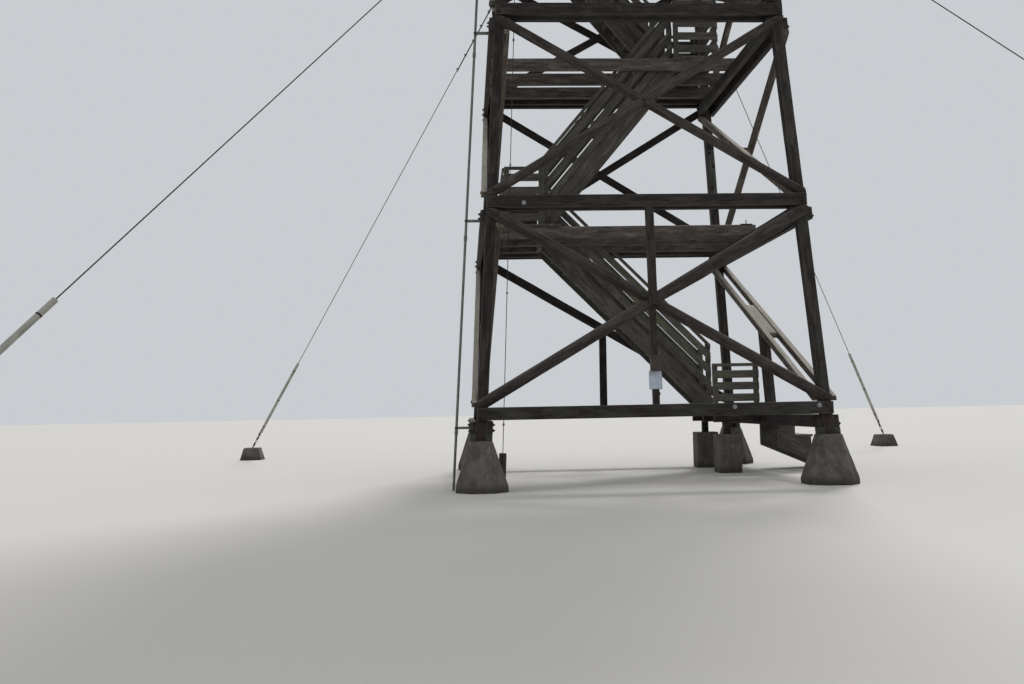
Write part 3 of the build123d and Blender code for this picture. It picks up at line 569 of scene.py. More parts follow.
def window_glass():
    """Clear float glass: sharp, with a faint green edge and some dust."""
    material, tree, shader = new_material("float_glass")
    shader.inputs["Base Color"].default_value = colour("#dfe8e4")
    shader.inputs["Transmission Weight"].default_value = 1.0
    shader.inputs["IOR"].default_value = 1.52
    place = add(tree, "TexCoord", (), "Object")
    dust = pattern(tree, place, (0.09, 0.09, 0.25), detail=4)
    tree.links.new(add(tree, "MapRange", (dust, 0.45, 0.75, 0.03, 0.16)), shader.inputs["Roughness"])
    return material


# Each kind of finish with the record's slot that it belongs to.
# The real streaks of softwood are 2 to 4 mm wide, and are drawn two or three times as wide to show.
FINISHES = {
    # Creosoted sawn timber: brown-black and dry, greyed in streaks, some planks with a green bloom
    "timber": ("treated_timber", weathered_wood(
        "creosoted_timber", ("#1a1715", "#322c2a", "#4d4642", "#807973"), 8, tint="#343833")),
    # Creosoted log, sawn in half: dark, with long open splits
    "pole": ("treated_timber", weathered_wood(
        "creosoted_pole", ("#1d1a18", "#373130", "#524c48", "#736c66"), 9, 0.5, 0.9)),
    # Joists: grey-brown, drawn much paler than the other timber, partly their own colour and partly painted
    # light for the shade of the deck over them; paler along the top, partly bleaching and partly a painted
    # highlight
    "joist": ("treated_timber", weathered_wood(
        "half_bleached_joist", ("#332e2b", "#5d5651", "#7d756f", "#a09992"), 9, 0.7, 0.7)),
    # Thin braces that the sun has bleached: light grey, streaked and split
    "bleached": ("treated_timber", weathered_wood(
        "sun_bleached_timber", ("#3a342f", "#655d55", "#8a8278", "#b5aea2"), 8, 0.8, 0.8)),
    # Younger boards treated with copper salts: an even green-grey
    "splice": ("treated_timber", weathered_wood(
        "green_treated_board", ("#303330", "#484b46", "#5b5d57", "#7e8079"), 8, 0.5, 0.4)),
    # Untreated boards gone silver-grey, with moss green in the damp ones
    "lumber": ("grey_lumber", weathered_wood(
        "grey_lumber", ("#37342f", "#5c5852", "#7c7870", "#a8a49b"), 7, tint="#5f6048", contrast=0.8)),
    # Off-white oil paint on boards: chalky and nearly even, the grain just showing
    "siding": ("painted_siding", weathered_wood(
        "painted_siding", ("#8d887e", "#b3aea4", "#c2beb4", "#cfccc3"), 8, 0.3, 0.25,
        knots=0.1, contrast=0.35)),
    # Grey-green oil paint on trim and sashes, paler on what faces up, partly faded paint and partly a painted
    # highlight
    "trim": ("painted_siding", weathered_wood(
        "painted_trim", ("#47524a", "#59655a", "#6a7569", "#87907f"), 8, 0.3, 0.3,
        knots=0.1, contrast=0.5)),
    # Split cedar shingles: brown-grey, each with its own tone
    "shingle": ("roof_shingles", weathered_wood(
        "split_shingles", ("#332c27", "#544a42", "#6f665c", "#8a837a"), 6, 0.5, 0.7, knots=0.1)),
    # Board-cast concrete, out in the rain for decades: dull, stained and gritty
    "concrete": ("concrete", cast_concrete(
        "board_cast_concrete", ("#45413d", "#625d58", "#938d84", "#656355"))),
    # Hot-dip galvanised steel: dull silver with cloudy spangles about 25 mm across
    "galvanised": ("galvanised_steel", plain_surface(
        "galvanised_steel", "#7d8080", "#999c9b", 0.5, 6, metallic=0.85, bump=0.15, patch_mm=25)),
    # Iron whose zinc has gone: matt brown-black rust in small scales
    "rust": ("galvanised_steel", plain_surface(
        "rusted_iron", "#231b17", "#453730", 0.8, 4, metallic=0.3, bump=0.4, patch_mm=18)),
    # Greased wire rope: dark grey with a faint metal gleam
    "cable": ("galvanised_steel", plain_surface(
        "weathered_wire_rope", "#2b2a29", "#4a4845", 0.65, 3, metallic=0.5, bump=0.2, patch_mm=40)),
    # Old galvanised conduit: grey-green and half dull
    "pipe": ("pipe_steel", plain_surface(
        "weathered_pipe", "#5d635e", "#7d827b", 0.55, 4, metallic=0.4, bump=0.15, patch_mm=90)),
    # Faded polyethylene tube: chalky warm grey
    "plastic": ("guard_plastic", plain_surface(
        "guard_tube_plastic", "#7f7e76", "#a3a198", 0.6, 5, bump=0.1, patch_mm=180)),
    # Float glass, single panes: clear, a little dusty
    "glass": ("clear_glass", window_glass()),
    # Paper in a clear sleeve: pale blue-white with a soft shine
    "paper": ("notice_paper", plain_surface(
        "sleeved_paper", "#96a2b0", "#b2bcc7", 0.3, 3, bump=0.05, patch_mm=70)),
    # Dark enamel on sheet steel, dulled and dusty
    "box": ("box_metal", plain_surface(
        "painted_box", "#2a211e", "#463831", 0.6, 3, bump=0.25, patch_mm=40)),
}


def finish(piece, name, kind, replaced=()):
    """Names a finished piece, gives it its material and fixes it to the tower."""
    place_in_mesh(piece)
    slot, material = FINISHES[kind]
    piece.name = name
    piece.data.name = name
    piece.data.materials.clear()
    piece.data.materials.append(material)
    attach(piece, "root")
    if replaced:
        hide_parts(*replaced)


def finish_wood(piece, name, kind, replaced=(), wear_mm=2, depth_mm=0, tone_shift=0.0):
    """Rounds a wooden piece's arrises, makes it a little uneven, gives it its grain and finishes it."""
    piece.name = name
    round_edges(piece, wear_mm)
    if kind == "pole":
        close_holes(piece)
    if depth_mm:
        make_uneven(piece, SLOW_WAVES, depth_mm * MM)
        make_uneven(piece, QUICK_WAVES, depth_mm * MM * QUICK_SHARE)
    smooth(piece)
    write_grain(piece, tone_shift)
    mark_worn(piece, wear_mm * MM)
    finish(piece, name, kind, replaced)


def set_out(model, places, name, kind, replaced=(), angle=35):
    """Copies a model to each of its places and finishes the copies as one piece."""
    finish(smooth(copies(model, places), angle), name, kind, replaced)


# Timbers: the solids' own outlines, a little uneven along their length, with worn arrises and a grain

def copy_of(node):
    """The node's mesh as a new piece, its faces whole again."""
    piece = bpy.data.objects.new(node + "_copy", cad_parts[node].data.copy())
    bpy.context.scene.collection.objects.link(piece)
    select_whole(piece)
    bpy.ops.mesh.remove_doubles(threshold=MERGE_DISTANCE)
    bpy.ops.mesh.dissolve_limited(angle_limit=FLAT_WITHIN)
    to_objects()
    return piece


SAME_LEVEL = 0.1


def level_tops(node):
    """Top edges of a node's girts, from the lowest up."""
    tops = []
    for low, high in sorted(solids_of(node), key=lambda box: box[1].z):
        if not tops or high.z - tops[-1] > SAME_LEVEL:
            tops.append(high.z)
    return tops


FRONT_TOPS = level_tops("front_girts")
SIDE_TOPS = level_tops("left_girts")
girt_low, girt_high = solids_of("front_girts")[0]
GIRT_DEPTH = girt_high.z - girt_low.z
END_GAP = 0.008                # between a brace's end and its girt
BOARD_TRIM = 0.0185            # off each edge of the flights' slanted boards
BROAD_FACE = 0.05              # in square metres
NEARLY_SQUARE = 0.99
TILTED = 0.2
LOG_GROWTH = 0.035
LOG_BASE = 1.65                # the thick half's lowest height over the first girts
LOG_START = 0.12               # and where it begins, across the face
LOG_TAPER = 0.7
POLE_DROP = 0.21               # from the second girts' top to the pole's end
POST_CUT = 0.062
LONG_ARRIS = 2.0
JOIST_ROUNDING = 34 * MM


def trim_boards(piece):
    """Trims both edges of the slanted boards under a flight's top rails, as worn boards let light through."""
    broad = [face for face in piece.data.polygons if face.area > BROAD_FACE]
    upward = next(face.normal.copy() for face in broad
                  if TILTED < face.normal.z < 0.95 and abs(face.normal.x) > TILTED)
    tilted = [face for face in broad if abs(face.normal.dot(upward)) > NEARLY_SQUARE]
    levels = sorted({round(face.center.dot(upward), 3) for face in tilted}, reverse=True)
    rail_bottom = levels[1] - 1 * MM

    def on_board(face, sign):
        tilt = face.normal.dot(upward) * sign
        return face.area > BROAD_FACE and tilt > NEARLY_SQUARE and face.center.dot(upward) < rail_bottom

    for sign in (1, -1):
        select_in(piece, "FACE", lambda face: on_board(face, sign))
        bpy.ops.transform.translate(value=(0, 0, -sign * BOARD_TRIM / upward.z))
        to_objects()


def thicken_log(piece):
    """The first bay's rising pole is a log that grows thicker on its right half."""
    low = FRONT_TOPS[0] + LOG_BASE
    chosen = [vertex for vertex in piece.data.vertices
              if vertex.co.x > LOG_START and low < vertex.co.z < FRONT_TOPS[1]]
    run = half_width(FRONT_TOPS[0]) + half_width(FRONT_TOPS[1])
    slope = Vector((run, 0, FRONT_TOPS[1] - FRONT_TOPS[0] - POLE_DROP)).normalized()
    downward = Vector((slope.z, 0, -slope.x))
    depths = [vertex.co.dot(downward) for vertex in chosen]
    middle = (min(depths) + max(depths)) / 2
    for vertex, depth in zip(chosen, depths):
        if depth > middle:
            vertex.co += downward * LOG_GROWTH * min(1.0, (vertex.co.x - LOG_START) / LOG_TAPER)


def round_off_joist(piece):
    """The first landing's front joist is a slabbed log, so its long arrises are rounded off."""
    joists = sorted(solids_of("landing_joists"), key=lambda box: (round(box[0].z, 1), box[0].y))
    low, high = joists[0]
    margin = 1 * MM

    def on_joist(place):
        return all(low[axis] - margin < place[axis] < high[axis] + margin for axis in range(3))

    mesh = piece.data

    def long_arris(edge):
        start, end = [mesh.vertices[index].co for index in edge.vertices]
        return (end - start).length > LONG_ARRIS and on_joist(start) and on_joist(end)

    select_in(piece, "EDGE", long_arris)
    bpy.ops.mesh.bevel(offset=JOIST_ROUNDING, segments=4)
    to_objects()


def dress_timber(node, kind, wear_mm, axis, spacing, depth_mm, tone_shift=0.0):
    """One node's timbers, cut into stretches along an axis and made uneven by a few millimetres."""
    piece = copy_of(node)
    if node == "landing_joists":
        round_off_joist(piece)
    if node == "front_mid_post":
        # The middle post stops under the second girts.
        shift(piece, lambda place: place.z > FRONT_TOPS[1] - GIRT_DEPTH, (0, 0, -POST_CUT))
    if node.startswith("flight") and node.endswith("guards"):
        trim_boards(piece)
    if spacing:
        cut_across(piece, axis, spacing)
    if node == "front_braces":
        thicken_log(piece)
    finish_wood(piece, node + "_" + kind, kind, [node], wear_mm, depth_mm, tone_shift)


ALONG_X, ALONG_Y, ALONG_Z = range(3)
FLIGHTS = (1, 2, 3)
for corner in CORNERS:
    dress_timber("leg_" + corner, "timber", 8, ALONG_Z, 0.42, 7)
for node, kind, wear_mm, axis, spacing, depth_mm, tone_shift in (
    ("front_girts", "timber", 7, ALONG_X, 0.42, 6, 0.0),
    ("back_girts", "timber", 7, ALONG_X, 0.42, 6, 0.0),
    ("left_girts", "timber", 7, ALONG_Y, 0.42, 6, 0.0),
    ("right_girts", "timber", 7, ALONG_Y, 0.42, 6, 0.0),
    ("front_braces", "pole", 4, ALONG_X, 0.34, 9, 0.05),
    ("back_braces", "pole", 4, ALONG_X, 0.34, 9, -0.05),
    ("left_braces", "bleached", 6, ALONG_Y, 0.42, 6, -0.10),
    ("right_braces", "bleached", 6, ALONG_Y, 0.42, 6, -0.10),
    ("brace_spacers", "bleached", 5, ALONG_Y, 0.3, 3, 0.1),
    ("entry_post", "timber", 6, ALONG_Z, 0.4, 5, 0.0),
    ("landing_joists", "joist", 6, ALONG_X, 0.42, 6, -0.05),
    ("leg_splices", "splice", 4, ALONG_Z, 0.4, 3, 0.0),
    ("cap_beams", "timber", 8, ALONG_Y, 0.45, 6, 0.0),
    ("floor_joists", "timber", 4, ALONG_X, 0.6, 4, 0.10),
    ("platform_frame", "timber", 5, ALONG_X, 0.4, 4, 0.0),
    ("front_mid_post", "timber", 6, ALONG_Z, 0.3, 6, 0.10),
    ("landing_decks", "lumber", 4, ALONG_Y, 0.6, 3, 0.0),
    ("landing_guards", "lumber", 3, ALONG_Z, 0, 0, 0.10),
    ("platform_deck", "lumber", 4, ALONG_Y, 0.6, 3, 0.0),
    ("platform_guard", "lumber", 3, ALONG_X, 0, 0, 0.10),
    ("entry_steps", "lumber", 4, ALONG_X, 0, 0, -0.20),
    ("catwalk_railing", "lumber", 4, ALONG_X, 0, 0, 0.0),
):
    dress_timber(node, kind, wear_mm, axis, spacing, depth_mm, tone_shift)
for number in FLIGHTS:
    dress_timber("flight_%d_stringers" % number, "lumber", 4, ALONG_X, 0.5, 4, -0.15)
    dress_timber("flight_%d_treads" % number, "lumber", 4, ALONG_X, 0, 0, 0.0)
    dress_timber("flight_%d_guards" % number, "lumber", 3, ALONG_X, 0.6, 4, 0.15)


# Cast piers and pads

PIER_VOXEL = 14 * MM
FORM_BOARD = 0.118             # width of the boards that the concrete was cast against
FORM_STEP_MM = 2.5             # the most that one board stands behind the next
JOINT_START = 0.44             # of a board's width from its middle
JOINT_DEPTH = 2 * MM
CORNER_TURN = 0.985            # a surface turned away from its side more than this is near a corner
CHIP_SCALE = 9
CHIP_LIMIT = 0.22
CHIP_DEPTH = 11 * MM
PIT_REACH = 17 * MM
PIT_DEPTH = 6 * MM
SIDES_TURN = 45                # degrees from one side of a pier to the next
LEVEL_FACE = 0.75              # a surface that faces up or down more than this is no side
GROUND_MARGIN = 6 * MM


def stand_on_ground(piece):
    """Levels the lowest part of a block, so that it stands flat at no height."""
    for vertex in piece.data.vertices:
        if vertex.co.z < GROUND_MARGIN:
            vertex.co.z = 0.0


def form_marks(place, facing):
    """How deep the form boards' steps, their joints and the chipped corners lie at a place on a side."""
    turn = round(math.degrees(math.atan2(facing.y, facing.x)) / SIDES_TURN)
    angle = math.radians(turn * SIDES_TURN)
    across = place.y * math.cos(angle) - place.x * math.sin(angle)
    board = math.floor(across / FORM_BOARD)
    depth = random.Random(f"{turn} {board}").uniform(0, FORM_STEP_MM) * MM
    if abs(across / FORM_BOARD - board - 0.5) > JOINT_START:
        depth += JOINT_DEPTH
    side = Vector((math.cos(angle), math.sin(angle), 0))
    level = Vector((facing.x, facing.y, 0)).normalized()
    if side.dot(level) < CORNER_TURN and field.noise(place * CHIP_SCALE) > CHIP_LIMIT:
        depth += CHIP_DEPTH
    return depth


def worn_cast(node, pit_count):
    """Cast block with rounded and chipped arrises, the marks of its form boards, and pits."""
    name = node + "_cast"
    piece = copy_of(node)
    add_modifier(piece, "REMESH", mode="VOXEL", voxel_size=PIER_VOXEL, use_smooth_shade=True)
    make_uneven(piece, SLOW_WAVES, 8 * MM)
    mesh = piece.data
    draw = random.Random(name)
    pits = [draw.choice(mesh.vertices).co.copy() for _ in range(pit_count)]
    moves = []
    for vertex in mesh.vertices:
        facing = vertex.normal
        depth = form_marks(vertex.co, facing) if abs(facing.z) < LEVEL_FACE else 0.0
        for pit in pits:
            if (vertex.co - pit).length < PIT_REACH:
                depth += PIT_DEPTH
        moves.append(facing * -depth)
    for vertex, move in zip(mesh.vertices, moves):
        vertex.co += move
    stand_on_ground(piece)
    finish(smooth(piece, 50), name, "concrete", [node])


for corner in CORNERS:
    worn_cast("pier_" + corner, 26)
worn_cast("platform_pads", 18)


# Bolts and nails

TURN_OVER = Matrix.Rotation(math.pi, 4, "Y")
LEFT_AND_RIGHT = (-1, 1)


def hex_bolt():
    """Square washer, hexagon nut and the bolt's end, standing on the level plane."""
    return joined([
        new_block((-0.032, -0.032, 0), (0.032, 0.032, 0.006), 2, 1),
        new_round(0.021, 0.018, 6, (0, 0, 0.015), wear_mm=2, segments=1),
        new_round(0.009, 0.014, 8, (0, 0, 0.031), wear_mm=2, segments=1),
    ])


def round_bolt():
    """Domed bolt head on a round washer."""
    return joined([
        new_round(0.036, 0.006, 16, (0, 0, 0.003), wear_mm=2, segments=1),
        new_round(0.019, 0.012, 12, (0, 0, 0.012), wear_mm=5),
    ])


def girt_bolts(outside):
    """Two staggered bolts where each girt crosses a leg, on its outer plank or behind the inner one."""
    places = []
    for face in FACE_TURNS:
        for top in SIDE_TOPS if face in SIDE_FACES else FRONT_TOPS:
            for side in LEFT_AND_RIGHT:
                for drop, step in ((0.055, -0.030), (0.140, 0.032)):
                    height = top - drop
                    across = side * (half_width(height) - LEG_SIZE / 2 + step)
                    if outside:
                        places.append(face_place(face, across, height, PLANK))
                    else:
                        places.append(face_place(face, across, height, -LEG_SIZE - PLANK) @ TURN_OVER)
    return places


def bay_diagonals():
    """Each bay's two corner-to-corner lines on a face, as (face, bay, start, end) in (across, height)."""
    lines = []
    for face in FACE_TURNS:
        tops = SIDE_TOPS if face in SIDE_FACES else FRONT_TOPS
        for bay in range(3):
            low = FRONT_TOPS[bay] + END_GAP
            high = tops[bay + 1] - GIRT_DEPTH - END_GAP
            for sign in LEFT_AND_RIGHT:
                lines.append((face, bay, (sign * half_width(low), low), (-sign * half_width(high), high)))
    return lines


def brace_bolts():
    """Bolts at the ends of the braces, over the legs, and through the poles' crossings."""
    places = []
    for face, bay, (x0, z0), (x1, z1) in bay_diagonals():
        rising = x1 > x0
        reach = POLE_REACH[bay]
        if face in SIDE_FACES:
            way_in = face == "right" and bay == 0
            if rising != way_in:
                continue
            reach = PLANK
        for share, lift in ((0.022, 0.018), (0.036, -0.018), (0.966, 0.018), (0.980, -0.018)):
            across = x0 + (x1 - x0) * share
            height = z0 + (z1 - z0) * share
            places.append(face_place(face, across, height + lift, reach - 3 * MM))
        if bay > 0 and rising:
            share = half_width(z0) / (half_width(z0) + half_width(z1))
            places.append(face_place(face, 0, z0 + (z1 - z0) * share, reach))
    return places


# Single bolts on the front, galvanised and then rusted ones: across, height, distance out from the legs
CROSSING = FRONT_TOPS[0] + 1.612
BRIGHT_BOLTS = (
    (-1.96, FRONT_TOPS[1] - 0.127, PLANK),
    (1.20, FRONT_TOPS[0] - 0.062, PLANK),
    (2.52, FRONT_TOPS[0] - 0.060, PLANK),
)
DARK_BOLTS = (
    (0, CROSSING + 0.03, PLANK + MID_POST),
    (0.02, FRONT_TOPS[0] + 1.24, MID_POST),
    (0.03, FRONT_TOPS[0] + 0.16, MID_POST),
    (0.03, FRONT_TOPS[1] - 0.067, PLANK),
    (0.06, FRONT_TOPS[0] - 0.09, PLANK),
    (-0.76, FRONT_TOPS[0] + 1.13, POLE_REACH[0]),
    (-0.4, FRONT_TOPS[2] - 0.09, PLANK),
)
SPLICE_BOARD = 0.038
SPLICE_BOLTS = ((0.06, 0.028), (0.30, -0.028), (0.70, 0.028), (0.94, -0.028))
SHOE_LEVELS = (0.83, 0.93, 1.02)
SHOE_PLATE = 0.010

splice_low, splice_high = [box for box in solids_of("leg_splices") if box[1].z - box[0].z > 0.5][0]
splice_places = []
shoe_places = []
for face in ("front", "back"):
    for side in LEFT_AND_RIGHT:
        for share, step in SPLICE_BOLTS:
            height = splice_low.z + (splice_high.z - splice_low.z) * share
            across = side * (half_width(height) - LEG_SIZE / 2 + step)
            splice_places.append(face_place(face, across, height, -LEG_SIZE - SPLICE_BOARD) @ TURN_OVER)
        for height in SHOE_LEVELS:
            across = side * (half_width(height) - LEG_SIZE / 2)
            shoe_places.append(face_place(face, across, height, SHOE_PLATE))

dark_places = [face_place("front", *place) for place in DARK_BOLTS]
bright_places = [face_place("front", *place) for place in BRIGHT_BOLTS]
set_out(hex_bolt(), girt_bolts(True) + splice_places, "girt_bolts", "rust")
set_out(hex_bolt(), girt_bolts(False), "girt_nuts", "rust")
set_out(round_bolt(), brace_bolts() + shoe_places + dark_places, "brace_bolts", "rust")
set_out(round_bolt(), bright_places, "front_bolts", "galvanised")

# Plate with an upright pin on the right end of the first landing's front joist
JOIST_END = Vector((2.38, 0.100, FRONT_TOPS[1] + 0.014))
plate = new_block(JOIST_END - Vector((0.11, 0.05, 0)), JOIST_END + Vector((0.11, 0.05, 0.012)), 3)
pin = new_round(0.009, 0.09, 10, JOIST_END + Vector((0, 0, 0.05)), wear_mm=2)
finish(smooth(joined([plate, pin])), "joist_plate", "rust")


def nail_head():
    """Nail head with a worn rim, standing on the level plane."""
    return new_round(6 * MM, 3 * MM, 6, wear_mm=1, segments=1)


def deck_nails(boards, supports):
    """Two nails where each board crosses each joist under it."""
    places = []
    for low, high in boards:
        for joist_low, joist_high in supports:
            y = (joist_low.y + joist_high.y) / 2
            under = abs(joist_high.z - low.z) <= 5 * MM and joist_low.x <= low.x and joist_high.x >= high.x
            if under and low.y < y < high.y:
                for share in (0.22, 0.78):
                    places.append(Matrix.Translation((low.x + (high.x - low.x) * share, y, high.z)))
    return places


def tread_nails(boards):
    """Two nails at each end of a tread."""
    places = []
    for low, high in boards:
        for y in (low.y + 0.025, high.y - 0.025):
            for share in (0.25, 0.75):
                places.append(Matrix.Translation((low.x + (high.x - low.x) * share, y, high.z)))
    return places


def panel_nails(panels, board_count, pitch, rail_drop=0.03, first_drop=0.202):
    """Nails where the rail and each board of an upright guard panel cross the posts at its ends."""
    places = []
    for low, high in panels:
        middle = (low + high) / 2
        along_x = high.x - low.x > high.y - low.y
        if along_x:
            outer = low.y if abs(low.y) < abs(high.y) and middle.y < 0.5 else high.y
        else:
            outer = low.x if middle.x < 0 else high.x
        turn = Matrix.Rotation(QUARTER_TURN, 4, "X" if along_x else "Y")
        levels = [high.z - rail_drop]
        for index in range(board_count):
            level = high.z - first_drop - pitch * index
            levels += [level - 0.03, level + 0.03]
        for level in levels:
            for corner, inward in ((low, 0.045), (high, -0.045)):
                place = (corner.x + inward, outer) if along_x else (outer, corner.y + inward)
                places.append(Matrix.Translation((*place, level)) @ turn)
    return places


nail_places = deck_nails(solids_of("landing_decks"), solids_of("landing_joists"))
nail_places += deck_nails(solids_of("platform_deck"), solids_of("platform_frame"))
for number in FLIGHTS:
    nail_places += tread_nails(solids_of("flight_%d_treads" % number))
nail_places += panel_nails(solids_of("landing_guards"), 4, 0.248)
nail_places += panel_nails(solids_of("platform_guard"), 4, 0.215)
finish(copies(nail_head(), nail_places), "stair_nails", "rust")

# Straps at the legs' feet, and the other steel
for node, kind, wear_mm in (
    ("leg_shoes", "rust", 2),
    ("guy_collars", "galvanised", 3),
    ("pipe_brackets", "pipe", 3),
    ("ground_wire", "cable", 1),
):
    finish(smooth(round_edges(copy_of(node), wear_mm)), node + "_steel", kind, [node])


# Guy wires: stranded cable with clips, thimbles and turnbuckles

GUY_DIAMETER = 0.016
TAIL_DIAMETER = 0.013
TAIL_LENGTH = 1.45
STRAND_COUNT = 6
STRAND_VALLEY = 0.72           # of the cable's radius, between two strands
LAY_LENGTH = 0.20              # of the cable, drawn longer than real so that the strands show
CLIP_STEPS = (0.35, 0.70, 1.05, 1.40)
FOOT_CLIP_STEPS = (0.03, 0.075)
BAND_STEPS = (0.35, 1.30, 2.32)
TURNBUCKLE_START = 0.05
TURNBUCKLE_LENGTH = 0.30
ROD_DIAMETER = 0.028


def ends_of_bar(low, high, side_x, side_y, diameter):
    """Ends of the middle line of a slanting round bar, from the box around it."""
    along = Vector((side_x * (high.x - low.x), side_y * (high.y - low.y), low.z - high.z)).normalized()
    radius = diameter / 2
    insets = [radius * math.sqrt(1 - along[axis] ** 2) for axis in range(3)]
    inner = [low[axis] + insets[axis] for axis in range(3)]
    outer = [high[axis] - insets[axis] for axis in range(3)]
    head = Vector((inner[0] if side_x > 0 else outer[0], inner[1] if side_y > 0 else outer[1], outer[2]))
    foot = Vector((outer[0] if side_x > 0 else inner[0], outer[1] if side_y > 0 else inner[1], inner[2]))
    return head, foot


def place_along(start, along, distance=0.0):
    """Place on a line, with Z along it and X level."""
    level = along.cross(UP).normalized()
    place = Matrix((level, along.cross(level), along)).transposed().to_4x4()
    place.translation = start + along * distance
    return place


def stranded_cable(diameter, length):
    """Cable of round strands laid in a helix about Z, from the origin up."""
    deselect_all()
    bpy.ops.mesh.primitive_circle_add(radius=diameter / 2, vertices=STRAND_COUNT * 3, fill_type="NOTHING")
    piece = bpy.context.object
    select_in(piece, "VERT", lambda vertex: vertex.index % 3 == 0)
    bpy.ops.transform.resize(value=(STRAND_VALLEY, STRAND_VALLEY, 1))
    to_objects()
    turns = max(1, round(length / LAY_LENGTH))
    add_modifier(
        piece, "SCREW", axis="Z", angle=2 * math.pi, screw_offset=length / turns, iterations=turns,
        steps=8, render_steps=8, use_smooth_shade=True,
    )
    for level in (0, length):
        select_in(piece, "VERT", lambda vertex: abs(vertex.co.z - level) < 0.1 * MM)
        bpy.ops.mesh.edge_face_add()
    select_whole(piece)
    bpy.ops.mesh.remove_doubles(threshold=0.01 * MM)
    bpy.ops.mesh.normals_make_consistent(inside=False)
    to_objects()
    return piece


def cable_clip():
    """Saddle, U-bolt and two nuts that clamp the cable's turned-back end, along Z."""
    saddle = new_block((-0.020, -0.030, -0.014), (0.020, -0.010, 0.014), 3)
    bow = new_ring(0.015, 0.004, (0, 0.012, 0), (0, 0, 0), (1, 1.7, 1))
    nuts = [new_round(0.0085, 0.010, 6, (side * 0.015, -0.034, 0), (QUARTER_TURN, 0, 0))
            for side in LEFT_AND_RIGHT]
    return joined([saddle, bow, *nuts])


def thimble():
    """Two linked rings at the cable's head."""
    return joined([
        new_ring(0.030, 0.008, (0, 0, 0.018), (QUARTER_TURN, 0, 0), (0.8, 1, 1.2)),
        new_ring(0.026, 0.007, (0, 0, -0.020), (0, QUARTER_TURN, 0), (1, 0.8, 1.1)),
    ])


def turnbuckle():
    """Turnbuckle and rod that stand out of an anchor block, from the cable's end along Z."""
    start = TURNBUCKLE_START
    end = TURNBUCKLE_START + TURNBUCKLE_LENGTH
    bars = [new_block((side * 0.020 - 0.005, -0.007, start), (side * 0.020 + 0.005, 0.007, end))
            for side in LEFT_AND_RIGHT]
    for bar in bars:
        round_edges(bar, 2)
    rings = [new_round(0.025, 0.030, 12, (0, 0, level)) for level in (start, end)]
    for ring in rings:
        round_edges(ring, 4)
    rods = [
        new_round(0.009, 0.16, 12, (0, 0, 0.07)),
        new_round(ROD_DIAMETER / 2, 0.26, 16, (0, 0, end + 0.05)),
    ]
    eye = new_ring(0.022, 0.007, (0, 0, -0.012), (QUARTER_TURN, 0, 0), (0.8, 1, 1.1))
    return joined([*bars, *rings, *rods, eye])


guy_heads = []
guy_feet = []
for low, high in solids_of("guy_wires"):
    middle = (low + high) / 2
    head, foot = ends_of_bar(low, high, math.copysign(1, middle.x), math.copysign(1, middle.y), GUY_DIAMETER)
    along = (foot - head).normalized()
    guy_heads.append(place_along(head, along))
    guy_feet.append(place_along(foot, along))
GUY_LENGTH = (guy_feet[0].translation - guy_heads[0].translation).length

tail_places = [place @ Matrix.Translation((0, GUY_DIAMETER, 0)) for place in guy_heads]
clip_places = [place @ Matrix.Translation((0, 0.008, step)) for place in guy_heads for step in CLIP_STEPS]
clip_places += [place @ Matrix.Translation((0, 0.0, -step)) for place in guy_feet for step in FOOT_CLIP_STEPS]
set_out(stranded_cable(GUY_DIAMETER, GUY_LENGTH), guy_heads, "guy_cables", "cable", ["guy_wires"], 60)
set_out(stranded_cable(TAIL_DIAMETER, TAIL_LENGTH), tail_places, "guy_cable_tails", "cable", angle=60)
set_out(cable_clip(), clip_places, "guy_clips", "rust")
set_out(thimble(), guy_heads, "guy_thimbles", "rust")
set_out(turnbuckle(), guy_feet, "guy_turnbuckles", "rust")

ANCHOR_TOP = 0.320
ANCHOR_TAPER = 0.085


def anchor_blocks():
    """Tapered concrete blocks, one under each guy wire."""
    blocks = []
    for low, high in solids_of("guy_anchors"):
        half = (high.x - low.x) / 2
        taper = (half - ANCHOR_TAPER) / half
        block = new_block((-half, -half, 0), (half, half, ANCHOR_TOP))
        select_in(block, "VERT", lambda vertex: vertex.co.z > ANCHOR_TOP / 2)
        bpy.ops.transform.resize(value=(taper, taper, 1))
        to_objects()
        block.location = ((low.x + high.x) / 2, (low.y + high.y) / 2, 0)
        place_in_mesh(block)
        blocks.append(block)
    piece = joined(blocks)
    add_modifier(piece, "REMESH", mode="VOXEL", voxel_size=16 * MM, use_smooth_shade=True)
    make_uneven(piece, SLOW_WAVES, 10 * MM)
    make_uneven(piece, QUICK_WAVES, 5 * MM)
    stand_on_ground(piece)
    return smooth(piece, 50)


finish(anchor_blocks(), "guy_anchor_blocks", "concrete", ["guy_anchors"])
finish(smooth(round_edges(copy_of("guy_guards"), 6, 3), 40), "guy_guard_tubes", "plastic", ["guy_guards"])
band_places = [place @ Matrix.Translation((0, 0, -step)) for place in guy_feet for step in BAND_STEPS]
set_out(new_round(0.0375, 0.022, 24, wear_mm=3), band_places, "guard_tube_bands", "rust")


# Pipe outside the left side

PIPE_DIAMETER = 0.042
COUPLING_STEPS = (0.9, 4.0, 7.1, 9.9)
pipe_low, pipe_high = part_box("side_pipe")
pipe_along = Vector((
    pipe_high.x - pipe_low.x - PIPE_DIAMETER, pipe_high.y - pipe_low.y - PIPE_DIAMETER, pipe_high.z
)).normalized()
pipe_foot = Vector((pipe_low.x + PIPE_DIAMETER / 2, pipe_low.y + PIPE_DIAMETER / 2, 0))
finish(smooth(round_edges(copy_of("side_pipe"), 2), 40), "side_pipe_steel", "pipe", ["side_pipe"])
coupling_places = [place_along(pipe_foot, pipe_along, step) for step in COUPLING_STEPS]
set_out(new_round(0.028, 0.085, 20, wear_mm=4), coupling_places, "pipe_couplings", "pipe")


